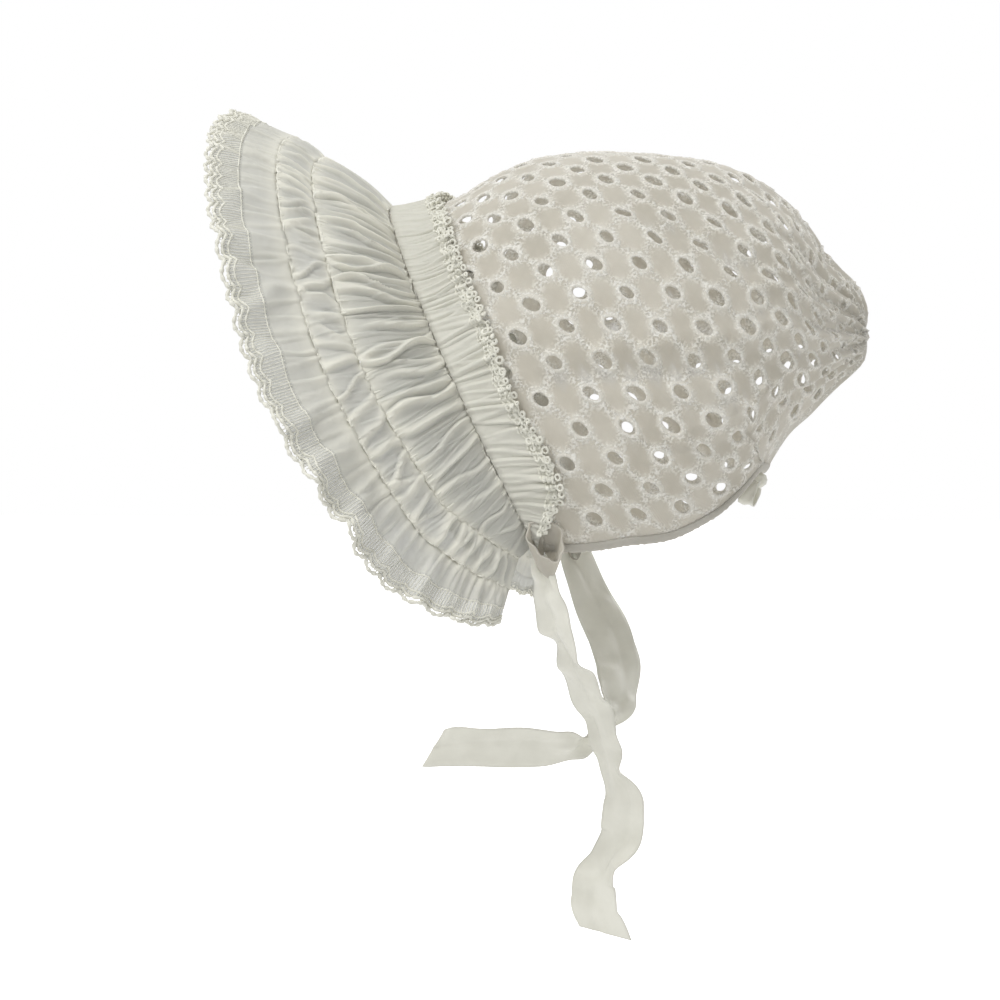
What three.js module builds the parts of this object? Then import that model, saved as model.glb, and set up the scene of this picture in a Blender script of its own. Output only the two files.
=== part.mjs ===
// A baby bonnet in white eyelet cloth, in the form that it has on a head.
// The crown is a hood that is gathered to a point at the back. Its brim flares round the face in
// gathered bands, and ends in a pleated edge frill. A heading frill lies back over the crown.
// The neck edge is bound, with a small bow at the nape, and a ribbon tie hangs from each chin corner.
// Millimetres, +Z up, -X towards the face, -Y the wearer's left.
// The origin is where the top of the head touches the inside of the crown.
import * as THREE from "three";
import { mergeVertices } from "three/addons/utils/BufferGeometryUtils.js";

// Crown
const FRONT_REACH = 87; // from the origin forward to the top of the front seam
const BACK_REACH = 99; // from the origin back to the tip
const CROWN_HEIGHT = 164;
const CROWN_WIDTH = 132;
const CROWN_FULLNESS = 0.88; // power that rounds the sections: 1 is an ellipse, and less is fuller
const CROWN_CLOTH = 1.5; // wall of the eyelet cloth
const EYELET_DIAMETER = 5.6;
const BACK_GATHERS = 15; // folds round the tip
const BACK_GATHER_DEPTH = 1.5;

// Brim
const INNER_BAND = 37; // from the crown's seam to the first line of gathers
const MIDDLE_BAND = 15.5; // from there to the second line
const EDGE_FRILL = 28; // from there to the scalloped edge
const HEADING_FRILL = 20; // what lies back over the crown
const BRIM_CLOTH = 1.2;
const BAND_PUFF = 3.2; // how far the inner band swells between its gathered lines
const BAND_FOLD = 1.1; // height of the folds in a band
const EDGE_WAVE = 2.4; // height of the edge frill's waves at its free edge
const HEADING_WAVE = 0.5;
const HEADING_CLEARANCE = 0.9; // over the crown's cloth
const SCALLOP = 1.2; // how far a scallop stands out from the hollow beside it

// Neck edge, ties and bow
const BINDING_WIDTH = 3.6;
const BINDING_THICKNESS = 1.9;
const BINDING_SETBACK = 2; // how far behind the front seam the binding starts
const TIE_WIDTH = 19;
const TIE_THICKNESS = 1;
const TIE_DROP = 157; // from the top of a tie down to the lowest end
const TIE_SPREAD = 48; // from a chin corner forward to the end that stands out
const TIE_END_SLANT = 12; // by how much one corner of a cut end is longer than the other
const BOW_RIBBON = 6;
const BOW_LOOP = 13;
const BOW_THICKNESS = 0.9;
const BOW_DROOP = 38; // degrees that a loop hangs below the run of the neck edge
const BOW_SPREAD = 28; // degrees between a loop's ends, on each side of its middle

const SEAM_GAP = 0.35; // clearance between pieces that are sewn together
const FRONT_SEAM_GAP = 1.3; // the same where three pieces meet at the crown's front

// Mesh steps
const COLUMNS = 60; // round the crown and brim, from one chin corner to the other
const FRILL_COLUMNS = 88;
const FRONT_ROWS = 9; // crown rows ahead of the nape
const BACK_ROWS = 5; // crown rows from the nape to the tip
const TIE_STEPS = 34;

const SIDES = [
  { name: "left", sign: -1 },
  { name: "right", sign: 1 },
];

// Crown sections from front to back. x is a share of the front reach where it is below 0, and of the
// back reach above it. top and bottom are shares of the height, measured down, and half is a share of
// the half width.
const CROWN_SECTIONS = [
  { x: -1, top: 0.13, bottom: 1.13, half: 0.773 },
  { x: -0.812, top: 0.125, bottom: 1.13, half: 0.825 },
  { x: -0.714, top: 0.11, bottom: 1.13, half: 0.85 },
  { x: -0.507, top: 0.05, bottom: 1.13, half: 0.905 },
  { x: -0.336, top: 0.015, bottom: 1.125, half: 0.95 },
  { x: -0.128, top: 0.001, bottom: 1.12, half: 0.99 },
  { x: 0, top: 0, bottom: 1.112, half: 1 },
  { x: 0.244, top: 0.01, bottom: 1.06, half: 0.99 },
  { x: 0.395, top: 0.027, bottom: 0.985, half: 0.95 },
  { x: 0.535, top: 0.062, bottom: 0.865, half: 0.865 },
  { x: 0.629, top: 0.1, bottom: 0.745, half: 0.78 },
  { x: 0.71, top: 0.143, bottom: 0.665, half: 0.69 },
  { x: 0.782, top: 0.2, bottom: 0.622, half: 0.585 },
  { x: 0.836, top: 0.252, bottom: 0.585, half: 0.49 },
  { x: 0.892, top: 0.29, bottom: 0.55, half: 0.39 },
  { x: 0.96, top: 0.335, bottom: 0.512, half: 0.25 },
  { x: 0.988, top: 0.375, bottom: 0.49, half: 0.14 },
  { x: 1, top: 0.43, bottom: 0.43, half: 0 },
];

// Where the neck edge cuts the sections: x as above, and degrees from the top of the head. It starts
// at a chin corner and closes at the nape.
const NECK_EDGE = [
  { x: -0.2715, angle: 130 },
  { x: -0.034, angle: 130.7 },
  { x: 0.081, angle: 130.9 },
  { x: 0.233, angle: 133.7 },
  { x: 0.383, angle: 137.3 },
  { x: 0.475, angle: 141.5 },
  { x: 0.535, angle: 145 },
  { x: 0.586, angle: 151 },
  { x: 0.616, angle: 160 },
  { x: 0.631, angle: 180 },
];

// Long soft folds in the crown's cloth. u runs from the top of the head, 0, to a chin corner, 1, and
// v from the front seam, 0, to the tip, 1. depth and width are shares of the crown's width.
const CROWN_FOLDS = [
  { side: -1, u0: 0.56, v0: 0.12, u1: 0.5, v1: 0.62, depth: 0.02, width: 0.05 },
  { side: -1, u0: 0.7, v0: 0.2, u1: 0.66, v1: 0.66, depth: -0.014, width: 0.045 },
  { side: -1, u0: 0.86, v0: 0.1, u1: 0.84, v1: 0.6, depth: 0.018, width: 0.05 },
  { side: -1, u0: 0.24, v0: 0.3, u1: 0.22, v1: 0.72, depth: 0.016, width: 0.05 },
  { side: 1, u0: 0.5, v0: 0.15, u1: 0.48, v1: 0.6, depth: 0.018, width: 0.05 },
  { side: 1, u0: 0.8, v0: 0.12, u1: 0.78, v1: 0.62, depth: 0.018, width: 0.05 },
];

// How far each band of the brim leans out from the way that the face looks, in degrees. u is as above.
const BRIM_LEAN = [
  { u: 0, inner: 64, middle: 62, edge: 47 },
  { u: 0.3, inner: 53, middle: 50, edge: 42 },
  { u: 0.55, inner: 41, middle: 40, edge: 36 },
  { u: 0.8, inner: 34, middle: 42, edge: 44 },
  { u: 0.9, inner: 30, middle: 47, edge: 50 },
  { u: 0.96, inner: 26, middle: 52, edge: 54 },
  { u: 1, inner: 20, middle: 56, edge: 58 },
];

// How wide each band is there, as a share of its own width.
const BRIM_WIDTH = [
  { u: 0, inner: 0.96, middle: 0.96, edge: 0.96 },
  { u: 0.3, inner: 0.95, middle: 0.95, edge: 0.95 },
  { u: 0.55, inner: 0.93, middle: 0.95, edge: 0.93 },
  { u: 0.8, inner: 0.72, middle: 0.95, edge: 0.86 },
  { u: 0.9, inner: 0.48, middle: 0.95, edge: 0.78 },
  { u: 0.96, inner: 0.32, middle: 0.9, edge: 0.64 },
  { u: 1, inner: 0.22, middle: 0.82, edge: 0.5 },
];

// The ties' courses. x is a share of the spread, backwards from the chin corner, y a share of the
// corner's distance from the middle, z a share of the drop and width a share of the ribbon's width.
// turn is the degrees that the ribbon is twisted from lying flat to the wearer's left.
const LEFT_TIE = [
  { x: 0.02, y: 0.99, z: 0, turn: 30, width: 0.42 },
  { x: 0.08, y: 0.95, z: 0.06, turn: 32, width: 0.6 },
  { x: 0.1, y: 0.9, z: 0.11, turn: 35, width: 0.76 },
  { x: 0.14, y: 0.81, z: 0.18, turn: 38, width: 0.82 },
  { x: 0.21, y: 0.64, z: 0.244, turn: 62, width: 0.85 },
  { x: 0.28, y: 0.51, z: 0.297, turn: 38, width: 0.88 },
  { x: 0.34, y: 0.32, z: 0.37, turn: 35, width: 0.84 },
  { x: 0.43, y: 0.19, z: 0.436, turn: 30, width: 0.7 },
  { x: 0.48, y: 0.13, z: 0.508, turn: 28, width: 0.66 },
  { x: 0.52, y: 0.1, z: 0.56, turn: 50, width: 0.75 },
  { x: 0.62, y: 0.09, z: 0.64, turn: 26, width: 1 },
  { x: 0.6, y: 0.09, z: 0.72, turn: 30, width: 1 },
  { x: 0.46, y: 0.09, z: 0.79, turn: 52, width: 1 },
  { x: 0.38, y: 0.09, z: 0.85, turn: 20, width: 1 },
  { x: 0.38, y: 0.09, z: 0.9, turn: 12, width: 1 },
  { x: 0.47, y: 0.09, z: 0.975, turn: 8, width: 0.95 },
];
const RIGHT_TIE = [
  { x: 0.04, y: 0.99, z: 0, turn: -34, width: 0.6 },
  { x: 0.12, y: 0.96, z: 0.05, turn: -34, width: 0.8 },
  { x: 0.27, y: 0.84, z: 0.15, turn: -33, width: 0.96 },
  { x: 0.45, y: 0.63, z: 0.25, turn: -24, width: 1 },
  { x: 0.53, y: 0.46, z: 0.325, turn: -28, width: 1 },
  { x: 0.54, y: 0.28, z: 0.395, turn: -36, width: 0.85 },
  { x: 0.47, y: 0.16, z: 0.45, turn: -40, width: 0.62 },
  { x: 0.35, y: 0.14, z: 0.495, turn: -44, width: 0.62 },
  { x: 0.2, y: 0.11, z: 0.508, turn: -38, width: 0.74 },
  { x: -0.09, y: 0.07, z: 0.513, turn: -30, width: 1 },
  { x: -0.51, y: 0.04, z: 0.515, turn: -26, width: 1 },
  { x: -0.84, y: 0.03, z: 0.516, turn: -26, width: 1 },
  { x: -1, y: 0.03, z: 0.52, turn: -30, width: 0.9 },
];

// Smooth value of a table's column at a place along another column, with no overshoot.
function smoothColumn(rows, along, column, at) {
  const last = rows.length - 1;
  if (at <= rows[0][along]) return rows[0][column];
  if (at >= rows[last][along]) return rows[last][column];
  const i = rows.findIndex((row) => row[along] > at) - 1;
  const slope = (k) =>
    (rows[k + 1][column] - rows[k][column]) / (rows[k + 1][along] - rows[k][along]);
  const tangent = (k) => {
    if (k === 0) return slope(0);
    if (k === last) return slope(last - 1);
    const before = slope(k - 1);
    const after = slope(k);
    return before * after <= 0 ? 0 : (2 * before * after) / (before + after);
  };
  const span = rows[i + 1][along] - rows[i][along];
  const t = (at - rows[i][along]) / span;
  return (
    rows[i][column] * (2 * t ** 3 - 3 * t ** 2 + 1) +
    tangent(i) * span * (t ** 3 - 2 * t ** 2 + t) +
    rows[i + 1][column] * (3 * t ** 2 - 2 * t ** 3) +
    tangent(i + 1) * span * (t ** 3 - t ** 2)
  );
}

const smoothStep = THREE.MathUtils.smoothstep;
const radians = THREE.MathUtils.degToRad;

// Crown form: u from -1, the left chin corner, over the top to 1, and v from the front seam to the tip.
const CROWN_DEPTH = FRONT_REACH + BACK_REACH;
const CROWN_TOP = CROWN_CLOTH / 2; // the mid surface, so that the inside touches the origin
const HOOP_CROWDING = 1.25; // how the hoops draw together towards the nape, and again towards the tip

const atRealX = (row) => ({ ...row, x: row.x * (row.x < 0 ? FRONT_REACH : BACK_REACH) });
const crownSections = CROWN_SECTIONS.map(atRealX);
const neckRows = NECK_EDGE.map(atRealX);

function sectionAt(x) {
  const top = CROWN_TOP - smoothColumn(crownSections, "x", "top", x) * CROWN_HEIGHT;
  const bottom = CROWN_TOP - smoothColumn(crownSections, "x", "bottom", x) * CROWN_HEIGHT;
  const half = (smoothColumn(crownSections, "x", "half", x) * CROWN_WIDTH) / 2;
  return { centre: (top + bottom) / 2, rise: (top - bottom) / 2, half };
}

function sectionPoint(x, angle) {
  const { centre, rise, half } = sectionAt(x);
  const across = Math.sign(angle) * Math.abs(Math.sin(angle)) ** CROWN_FULLNESS;
  return new THREE.Vector3(x, half * across, centre + rise * Math.cos(angle));
}

const neckAngle = (x) => radians(smoothColumn(neckRows, "x", "angle", x));

// The front seam lies in one leaning plane, through its top and both chin corners.
const SEAM_TOP = sectionPoint(-FRONT_REACH, 0);
const cornerX = neckRows[0].x;
const CHIN_CORNER = sectionPoint(cornerX, neckAngle(cornerX));
const FACE_TILT = Math.atan2(CHIN_CORNER.x - SEAM_TOP.x, SEAM_TOP.z - CHIN_CORNER.z);
const seamPlaces = new Map();

function seamX(u) {
  if (!seamPlaces.has(u)) seamPlaces.set(u, findSeamX(u));
  return seamPlaces.get(u);
}

function findSeamX(u) {
  const angle = u * neckAngle(cornerX);
  const seamPlane = (z) => Math.tan(FACE_TILT) * (SEAM_TOP.z - z) - FRONT_REACH;
  let [low, high] = [-FRONT_REACH, BACK_REACH];
  while (high - low > 1e-4) {
    const middle = (low + high) / 2;
    if (middle < seamPlane(sectionPoint(middle, angle).z)) low = middle;
    else high = middle;
  }
  return low;
}
const napeX = neckRows[neckRows.length - 1].x;
const NAPE_V = 0.65;
const NAPE_SHARE = (napeX - cornerX) / (BACK_REACH - cornerX);

function hoopShare(v) {
  if (v < NAPE_V) return NAPE_SHARE * (1 - (1 - v / NAPE_V) ** HOOP_CROWDING);
  const left = (1 - v) / (1 - NAPE_V);
  return 1 - (1 - NAPE_SHARE) * left ** HOOP_CROWDING;
}
const sideX = (u, v) => seamX(u) + (BACK_REACH - seamX(u)) * hoopShare(v);

function crownForm(u, v) {
  const endAngle = v >= NAPE_V ? Math.PI : neckAngle(sideX(1, v));
  return sectionPoint(sideX(u, v), u * endAngle);
}

// Outward unit normal of a surface whose columns run left to right and whose rows run as given.
function normalOf(surface, u, v, rowsRunBack) {
  const step = 1e-3;
  const alongU = surface(Math.min(u + step, 1), v).sub(surface(Math.max(u - step, -1), v));
  const alongV = surface(u, Math.min(v + step, 1)).sub(surface(u, Math.max(v - step, 0)));
  const normal = rowsRunBack ? alongV.cross(alongU) : alongU.cross(alongV);
  return normal.normalize();
}

function crownNormal(u, v) {
  const nearTip = 1 - 2e-3;
  if (v > nearTip) return new THREE.Vector3(1, 0, 0);
  return normalOf(crownForm, u, v, true);
}

// Height of the crown's cloth over its form: gathers that fan from the tip, and the long folds.
function crownRelief(u, v) {
  const gathered = smoothStep(v, 0.7 * NAPE_V, 0.85) * smoothStep(1 - v, 0, 0.12);
  let height = BACK_GATHER_DEPTH * gathered * Math.cos(Math.PI * BACK_GATHERS * (u + 1));
  for (const fold of CROWN_FOLDS) {
    const along = new THREE.Vector2(fold.u1 - fold.u0, fold.v1 - fold.v0);
    const from = new THREE.Vector2(fold.side * u - fold.u0, v - fold.v0);
    const share = THREE.MathUtils.clamp(from.dot(along) / along.lengthSq(), 0, 1);
    const away = from.addScaledVector(along, -share).length() * CROWN_DEPTH;
    const width = fold.width * CROWN_WIDTH;
    height -= fold.depth * CROWN_WIDTH * Math.exp(-((away / width) ** 2));
  }
  return height * smoothStep(v, 0, 0.12);
}

// Builds a closed wall from a grid of places. place(i, j, side) gives the point on the outer side, 1,
// or the inner, -1. shut(edge, k) says that an edge's step is joined up elsewhere, and opening(i, j)
// gives the loop of a hole in the two cells that start at column i, or nothing.
function wallGeometry({ columns, rows, place, shut = () => false, opening = () => null }) {
  const sheet = (side) =>
    Array.from({ length: columns + 1 }, (_, i) =>
      Array.from({ length: rows + 1 }, (_, j) => place(i, j, side)),
    );
  const outer = sheet(1);
  const inner = sheet(-1);
  const triangles = [];
  const triangle = (a, b, c) => triangles.push(a, b, c);
  const quad = (a, b, c, d) => {
    triangle(a, b, c);
    triangle(a, c, d);
  };
  for (let j = 0; j < rows; j += 1) {
    for (let i = 0; i < columns; i += 1) {
      const ring = opening(i, j);
      if (ring) {
        const loops = [ring(1), ring(-1)];
        bridge(cellCorners(outer, i, j), loops[0], (a, b, c) => triangle(c, b, a));
        bridge(cellCorners(inner, i, j), loops[1], triangle);
        loops[0].forEach((point, k) => {
          const next = (k + 1) % loops[0].length;
          quad(loops[0][next], point, loops[1][k], loops[1][next]);
        });
        i += 1;
      } else {
        quad(outer[i][j], outer[i][j + 1], outer[i + 1][j + 1], outer[i + 1][j]);
        quad(inner[i + 1][j], inner[i + 1][j + 1], inner[i][j + 1], inner[i][j]);
      }
    }
  }
  for (let i = 0; i < columns; i += 1) {
    const [next, last] = [i + 1, rows];
    if (!shut("first row", i)) quad(outer[i][0], outer[next][0], inner[next][0], inner[i][0]);
    if (!shut("last row", i)) quad(inner[i][last], inner[next][last], outer[next][last], outer[i][last]);
  }
  for (let j = 0; j < rows; j += 1) {
    const [next, last] = [j + 1, columns];
    if (!shut("first column", j)) quad(inner[0][j], inner[0][next], outer[0][next], outer[0][j]);
    if (!shut("last column", j)) quad(outer[last][j], outer[last][next], inner[last][next], inner[last][j]);
  }
  return closedGeometry(triangles);
}

// The six corners of the two cells that start at column i, in the order that bridge() takes.
function cellCorners(sheet, i, j) {
  const { [i]: left, [i + 1]: middle, [i + 2]: right } = sheet;
  return [right[j], right[j + 1], middle[j + 1], left[j + 1], left[j], middle[j]];
}

// Joins the corners of a frame to the loop of the hole inside it, both in the same order.
function bridge(frame, loop, triangle) {
  let k = 0;
  frame.forEach((corner, f) => {
    const nextCorner = frame[(f + 1) % frame.length];
    const target = Math.round(((f + 1) * loop.length) / frame.length);
    while (k < target) {
      triangle(corner, loop[(k + 1) % loop.length], loop[k % loop.length]);
      k += 1;
    }
    triangle(corner, nextCorner, loop[k % loop.length]);
  });
}

// Welds the triangles' corners, and leaves out the triangles that have shrunk to a line.
function closedGeometry(points) {
  const positions = new Float32Array(points.flatMap((p) => [p.x, p.y, p.z]));
  const loose = new THREE.BufferGeometry();
  loose.setAttribute("position", new THREE.BufferAttribute(positions, 3));
  const welded = mergeVertices(loose, 1e-3);
  const index = welded.getIndex().array;
  const kept = [];
  for (let i = 0; i < index.length; i += 3) {
    const [a, b, c] = index.slice(i, i + 3);
    if (a !== b && b !== c && c !== a) kept.push(a, b, c);
  }
  welded.setIndex(kept);
  welded.computeVertexNormals();
  return welded;
}

const rowPlace = (j) =>
  j <= FRONT_ROWS ? (NAPE_V * j) / FRONT_ROWS : NAPE_V + ((1 - NAPE_V) * (j - FRONT_ROWS)) / BACK_ROWS;

function clothPoint(u, v, side) {
  const lift = crownRelief(u, v) + (side * CROWN_CLOTH) / 2;
  return crownForm(u, v).addScaledVector(crownNormal(u, v), lift);
}

function crownGeometry() {
  const rows = FRONT_ROWS + BACK_ROWS;
  const uAt = (i) => -1 + (2 * i) / COLUMNS;
  const place = (i, j, side) => {
    const closesUp = j >= FRONT_ROWS && i === COLUMNS;
    return clothPoint(uAt(closesUp ? 0 : i), rowPlace(j), side);
  };
  const opening = (i, j) => {
    const holedRow = j >= 1 && j < FRONT_ROWS - 1;
    if (!holedRow || i % 4 !== (j % 2) * 2 || i + 2 > COLUMNS) return null;
    return (side) => eyeletLoop(uAt(i + 1), (rowPlace(j) + rowPlace(j + 1)) / 2, side);
  };
  const shut = (edge, k) => edge === "last row" || (edge.endsWith("column") && k >= FRONT_ROWS);
  return wallGeometry({ columns: COLUMNS, rows, place, shut, opening });
}

const EYELET_SIDES = 8;

// The corners of one eyelet, in the order of the frame that the bridge joins them to.
function eyeletLoop(u, v, side) {
  const step = 1e-2;
  const uLength = crownForm(u + step, v).distanceTo(crownForm(u - step, v)) / (2 * step);
  const vLength = crownForm(u, v + step).distanceTo(crownForm(u, v - step)) / (2 * step);
  const radius = EYELET_DIAMETER / 2;
  return Array.from({ length: EYELET_SIDES }, (_, k) => {
    const angle = -Math.PI / 4 + (2 * Math.PI * k) / EYELET_SIDES;
    const du = (radius * Math.cos(angle)) / uLength;
    const dv = (radius * Math.sin(angle)) / vLength;
    return clothPoint(u + du, v + dv, side);
  });
}

// Brim: it starts at the front seam and leans out from the way that the face looks.
const faceAxis = new THREE.Vector3(-Math.cos(FACE_TILT), 0, -Math.sin(FACE_TILT));
const faceCentre = SEAM_TOP.clone().lerp(crownForm(1, 0).setY(0), 0.5);

function brimDirection(u, bandName) {
  const lean = radians(smoothColumn(BRIM_LEAN, "u", bandName, Math.abs(u)));
  const outward = crownForm(u, 0).sub(faceCentre);
  outward.addScaledVector(faceAxis, -outward.dot(faceAxis)).normalize();
  return faceAxis.clone().multiplyScalar(Math.cos(lean)).addScaledVector(outward, Math.sin(lean));
}

const BANDS = [
  { name: "inner", width: INNER_BAND },
  { name: "middle", width: MIDDLE_BAND },
  { name: "edge", width: EDGE_FRILL },
];

const bandWidth = (band, u) => band.width * smoothColumn(BRIM_WIDTH, "u", band.name, Math.abs(u));

// The start of a band at u: the seam, moved out across the bands before it.
function bandStart(u, order) {
  const point = crownForm(u, 0);
  for (const band of BANDS.slice(0, order)) {
    point.addScaledVector(brimDirection(u, band.name), bandWidth(band, u));
  }
  return point;
}

// One band as a wall. relief(u, v) is its height over the straight band, and edge(u) what its free
// edge stands out.
function bandGeometry({ order, columns, rows, relief, edge = () => 0 }) {
  const band = BANDS[order];
  const surface = (u, v) => {
    const full = bandWidth(band, u);
    const start = order === 0 ? FRONT_SEAM_GAP : SEAM_GAP;
    const reach = start + (full - start - SEAM_GAP + edge(u)) * v;
    return bandStart(u, order).addScaledVector(brimDirection(u, band.name), reach);
  };
  const place = (i, j, side) => {
    const u = -1 + (2 * i) / columns;
    const v = j / rows;
    const lift = relief(u, v) + (side * BRIM_CLOTH) / 2;
    return surface(u, v).addScaledVector(normalOf(surface, u, v, false), lift);
  };
  return wallGeometry({ columns, rows, place: (i, j, side) => place(columns - i, j, side) });
}

const wave = (u, count) => Math.cos(Math.PI * count * (u + 1));

function puffedBand(order, rows, folds) {
  const relief = (u, v) => {
    const swell = Math.sin(Math.PI * v) * Math.min(1, (1 - Math.abs(u)) / 0.06);
    return swell * (BAND_PUFF * (BANDS[order].width / INNER_BAND) + BAND_FOLD * wave(u, folds));
  };
  return bandGeometry({ order, columns: COLUMNS, rows, relief });
}

function edgeFrill() {
  const relief = (u, v) => EDGE_WAVE * smoothStep(v, 0, 1) * wave(u, FRILL_COLUMNS / 4);
  const edge = (u) => (SCALLOP / 2) * wave(u, FRILL_COLUMNS / 2) - SCALLOP / 2;
  return bandGeometry({ order: 2, columns: FRILL_COLUMNS, rows: 2, relief, edge });
}

// The heading frill follows the crown, one clearance above it.
function headingFrill() {
  const rows = 2;
  const place = (i, j, side) => {
    const u = -1 + (2 * i) / COLUMNS;
    const run = crownForm(u, 0).distanceTo(crownForm(u, 0.1)) / 0.1;
    const width = smoothStep(1 - Math.abs(u), -0.06, 0.1) * (HEADING_FRILL - FRONT_SEAM_GAP);
    const scallop = j === rows ? (SCALLOP / 2) * wave(u, COLUMNS / 2) : 0;
    const v = (FRONT_SEAM_GAP + (width * j) / rows + scallop) / run;
    const folds = HEADING_WAVE * (j / rows) * (1 + wave(u, COLUMNS / 2));
    const above = CROWN_CLOTH / 2 + HEADING_CLEARANCE + BRIM_CLOTH / 2 + folds + (side * BRIM_CLOTH) / 2;
    const clear = Math.max(0, crownRelief(u, v));
    return crownForm(u, v).addScaledVector(crownNormal(u, v), above + clear);
  };
  return wallGeometry({ columns: COLUMNS, rows, place });
}

// The neck edge as the crown's rows leave it, from the left chin corner round the nape to the right.
function neckEdgePlaces() {
  const rows = Array.from({ length: FRONT_ROWS + 1 }, (_, j) => j);
  const side = (sign) =>
    rows.map((j) => ({ point: crownForm(sign, rowPlace(j)), out: crownNormal(sign * 0.999, rowPlace(j)) }));
  const left = side(-1);
  const right = side(1).reverse();
  const nape = left[FRONT_ROWS];
  nape.out.setY(0).normalize();
  const places = [...left, ...right.slice(1)];
  const last = places.length - 1;
  for (const [end, next] of [[0, 1], [last, last - 1]]) {
    const chord = places[next].point.clone().sub(places[end].point);
    places[end].point.addScaledVector(chord.normalize(), BINDING_SETBACK);
  }
  const stretch = (i) => places[i + 1].point.clone().sub(places[i].point).normalize();
  return places.map(({ point, out }, i) => {
    const after = stretch(Math.min(i, last - 1));
    const along = after.clone().add(stretch(Math.max(i - 1, 0))).normalize();
    const down = along.clone().cross(out).normalize();
    const mitre = 1 / along.dot(after);
    return { point, out: down.clone().cross(along).normalize(), down, mitre };
  });
}
const neckEdge = neckEdgePlaces();

function neckBinding() {
  const place = (i, j, side) => {
    const { point, out, down, mitre } = neckEdge[i];
    const below = mitre * (SEAM_GAP + BINDING_WIDTH * j);
    return point.clone().addScaledVector(down, below).addScaledVector(out, (side * BINDING_THICKNESS) / 2);
  };
  return wallGeometry({ columns: neckEdge.length - 1, rows: 1, place });
}

// A ribbon along stations that each give its centre, the direction across it and its width. slant is
// how much longer one corner of its last end is than the other.
function ribbonGeometry({ stations, thickness, slant = 0 }) {
  const last = stations.length - 1;
  const place = (i, j, side) => {
    const { centre, across, width } = stations[i];
    const tangent = stations[Math.min(i + 1, last)].centre.clone().sub(stations[Math.max(i - 1, 0)].centre);
    const face = across.clone().cross(tangent).normalize();
    const longer = i === last ? (j - 0.5) * slant : 0;
    return centre
      .clone()
      .addScaledVector(across, (j - 0.5) * width)
      .addScaledVector(tangent.normalize(), longer)
      .addScaledVector(face, (side * thickness) / 2);
  };
  return wallGeometry({ columns: last, rows: 1, place });
}

const TOWARDS_VIEWER = new THREE.Vector3(0, -1, 0);

function tieStations(rows, sign) {
  const corner = crownForm(sign, 0);
  const along = rows.map((row, i) => ({ ...row, at: i / (rows.length - 1) }));
  const value = (column, at) => smoothColumn(along, "at", column, at);
  const topDrop = SEAM_GAP * 2 + BINDING_WIDTH;
  const centreAt = (at) =>
    new THREE.Vector3(
      corner.x + value("x", at) * TIE_SPREAD,
      corner.y * value("y", at),
      corner.z - topDrop - value("z", at) * TIE_DROP,
    );
  return Array.from({ length: TIE_STEPS + 1 }, (_, i) => {
    const at = i / TIE_STEPS;
    const step = 0.5 / TIE_STEPS;
    const tangent = centreAt(Math.min(at + step, 1)).sub(centreAt(Math.max(at - step, 0))).normalize();
    const flat = TOWARDS_VIEWER.clone().cross(tangent).normalize();
    const across = flat.applyAxisAngle(tangent, radians(value("turn", at)));
    return { centre: centreAt(at), across, width: TIE_WIDTH * value("width", at) };
  });
}

// Nape bow: a knot under the binding, and two loops that droop to its sides.
function bowCentre() {
  const { point, down } = neckEdge[FRONT_ROWS];
  return point.clone().addScaledVector(down, BINDING_WIDTH + 2 * SEAM_GAP + BOW_RIBBON / 2);
}

function bowKnot() {
  const knot = new THREE.IcosahedronGeometry(BOW_RIBBON / 2, 1);
  knot.deleteAttribute("normal");
  knot.deleteAttribute("uv");
  return mergeVertices(knot, 1e-3);
}

function bowLoop(sign) {
  const steps = 12;
  const centre = bowCentre();
  const nape = neckEdge[FRONT_ROWS];
  const beside = neckEdge[FRONT_ROWS + sign].point.clone().sub(nape.point).normalize();
  const outwards = beside
    .multiplyScalar(Math.cos(radians(BOW_DROOP)))
    .addScaledVector(nape.down, Math.sin(radians(BOW_DROOP)))
    .normalize();
  const across = new THREE.Vector3(1, 0, 0).addScaledVector(outwards, -outwards.x).normalize();
  const lift = outwards.clone().cross(across).normalize();
  const opening = radians(BOW_SPREAD);
  const stations = Array.from({ length: steps + 1 }, (_, i) => {
    const angle = opening + ((2 * Math.PI - 2 * opening) * i) / steps;
    const reach = BOW_RIBBON / 2 + SEAM_GAP + (BOW_LOOP * (Math.cos(opening) - Math.cos(angle))) / 2;
    const height = BOW_LOOP * 0.24 * Math.sin(angle);
    const point = centre.clone().addScaledVector(outwards, reach).addScaledVector(lift, height);
    return { centre: point, across, width: BOW_RIBBON };
  });
  return ribbonGeometry({ stations, thickness: BOW_THICKNESS });
}

const eyeletCloth = new THREE.MeshStandardMaterial({ color: 0xe4e0d6, roughness: 0.9 });
const sheerCloth = new THREE.MeshStandardMaterial({ color: 0xe9e8df, roughness: 0.85 });
const satin = new THREE.MeshStandardMaterial({ color: 0xdcdacb, roughness: 0.4 });

const bonnet = new THREE.Group();
function addPiece(name, geometry, material) {
  const mesh = new THREE.Mesh(geometry, material);
  mesh.name = name;
  bonnet.add(mesh);
  return mesh;
}

addPiece("crown", crownGeometry(), eyeletCloth);
addPiece("heading_frill", headingFrill(), sheerCloth);
addPiece("inner_band", puffedBand(0, 3, COLUMNS / 4), sheerCloth);
addPiece("middle_band", puffedBand(1, 2, COLUMNS / 4), sheerCloth);
addPiece("edge_frill", edgeFrill(), sheerCloth);
addPiece("neck_binding", neckBinding(), eyeletCloth);
for (const { name, sign } of SIDES) {
  const stations = tieStations(sign < 0 ? LEFT_TIE : RIGHT_TIE, sign);
  const ribbon = { stations, thickness: TIE_THICKNESS, slant: TIE_END_SLANT };
  addPiece(`tie_${name}`, ribbonGeometry(ribbon), satin);
  addPiece(`bow_loop_${name}`, bowLoop(sign), satin);
}
addPiece("bow_knot", bowKnot(), satin).position.copy(bowCentre());

export default bonnet;
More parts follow.
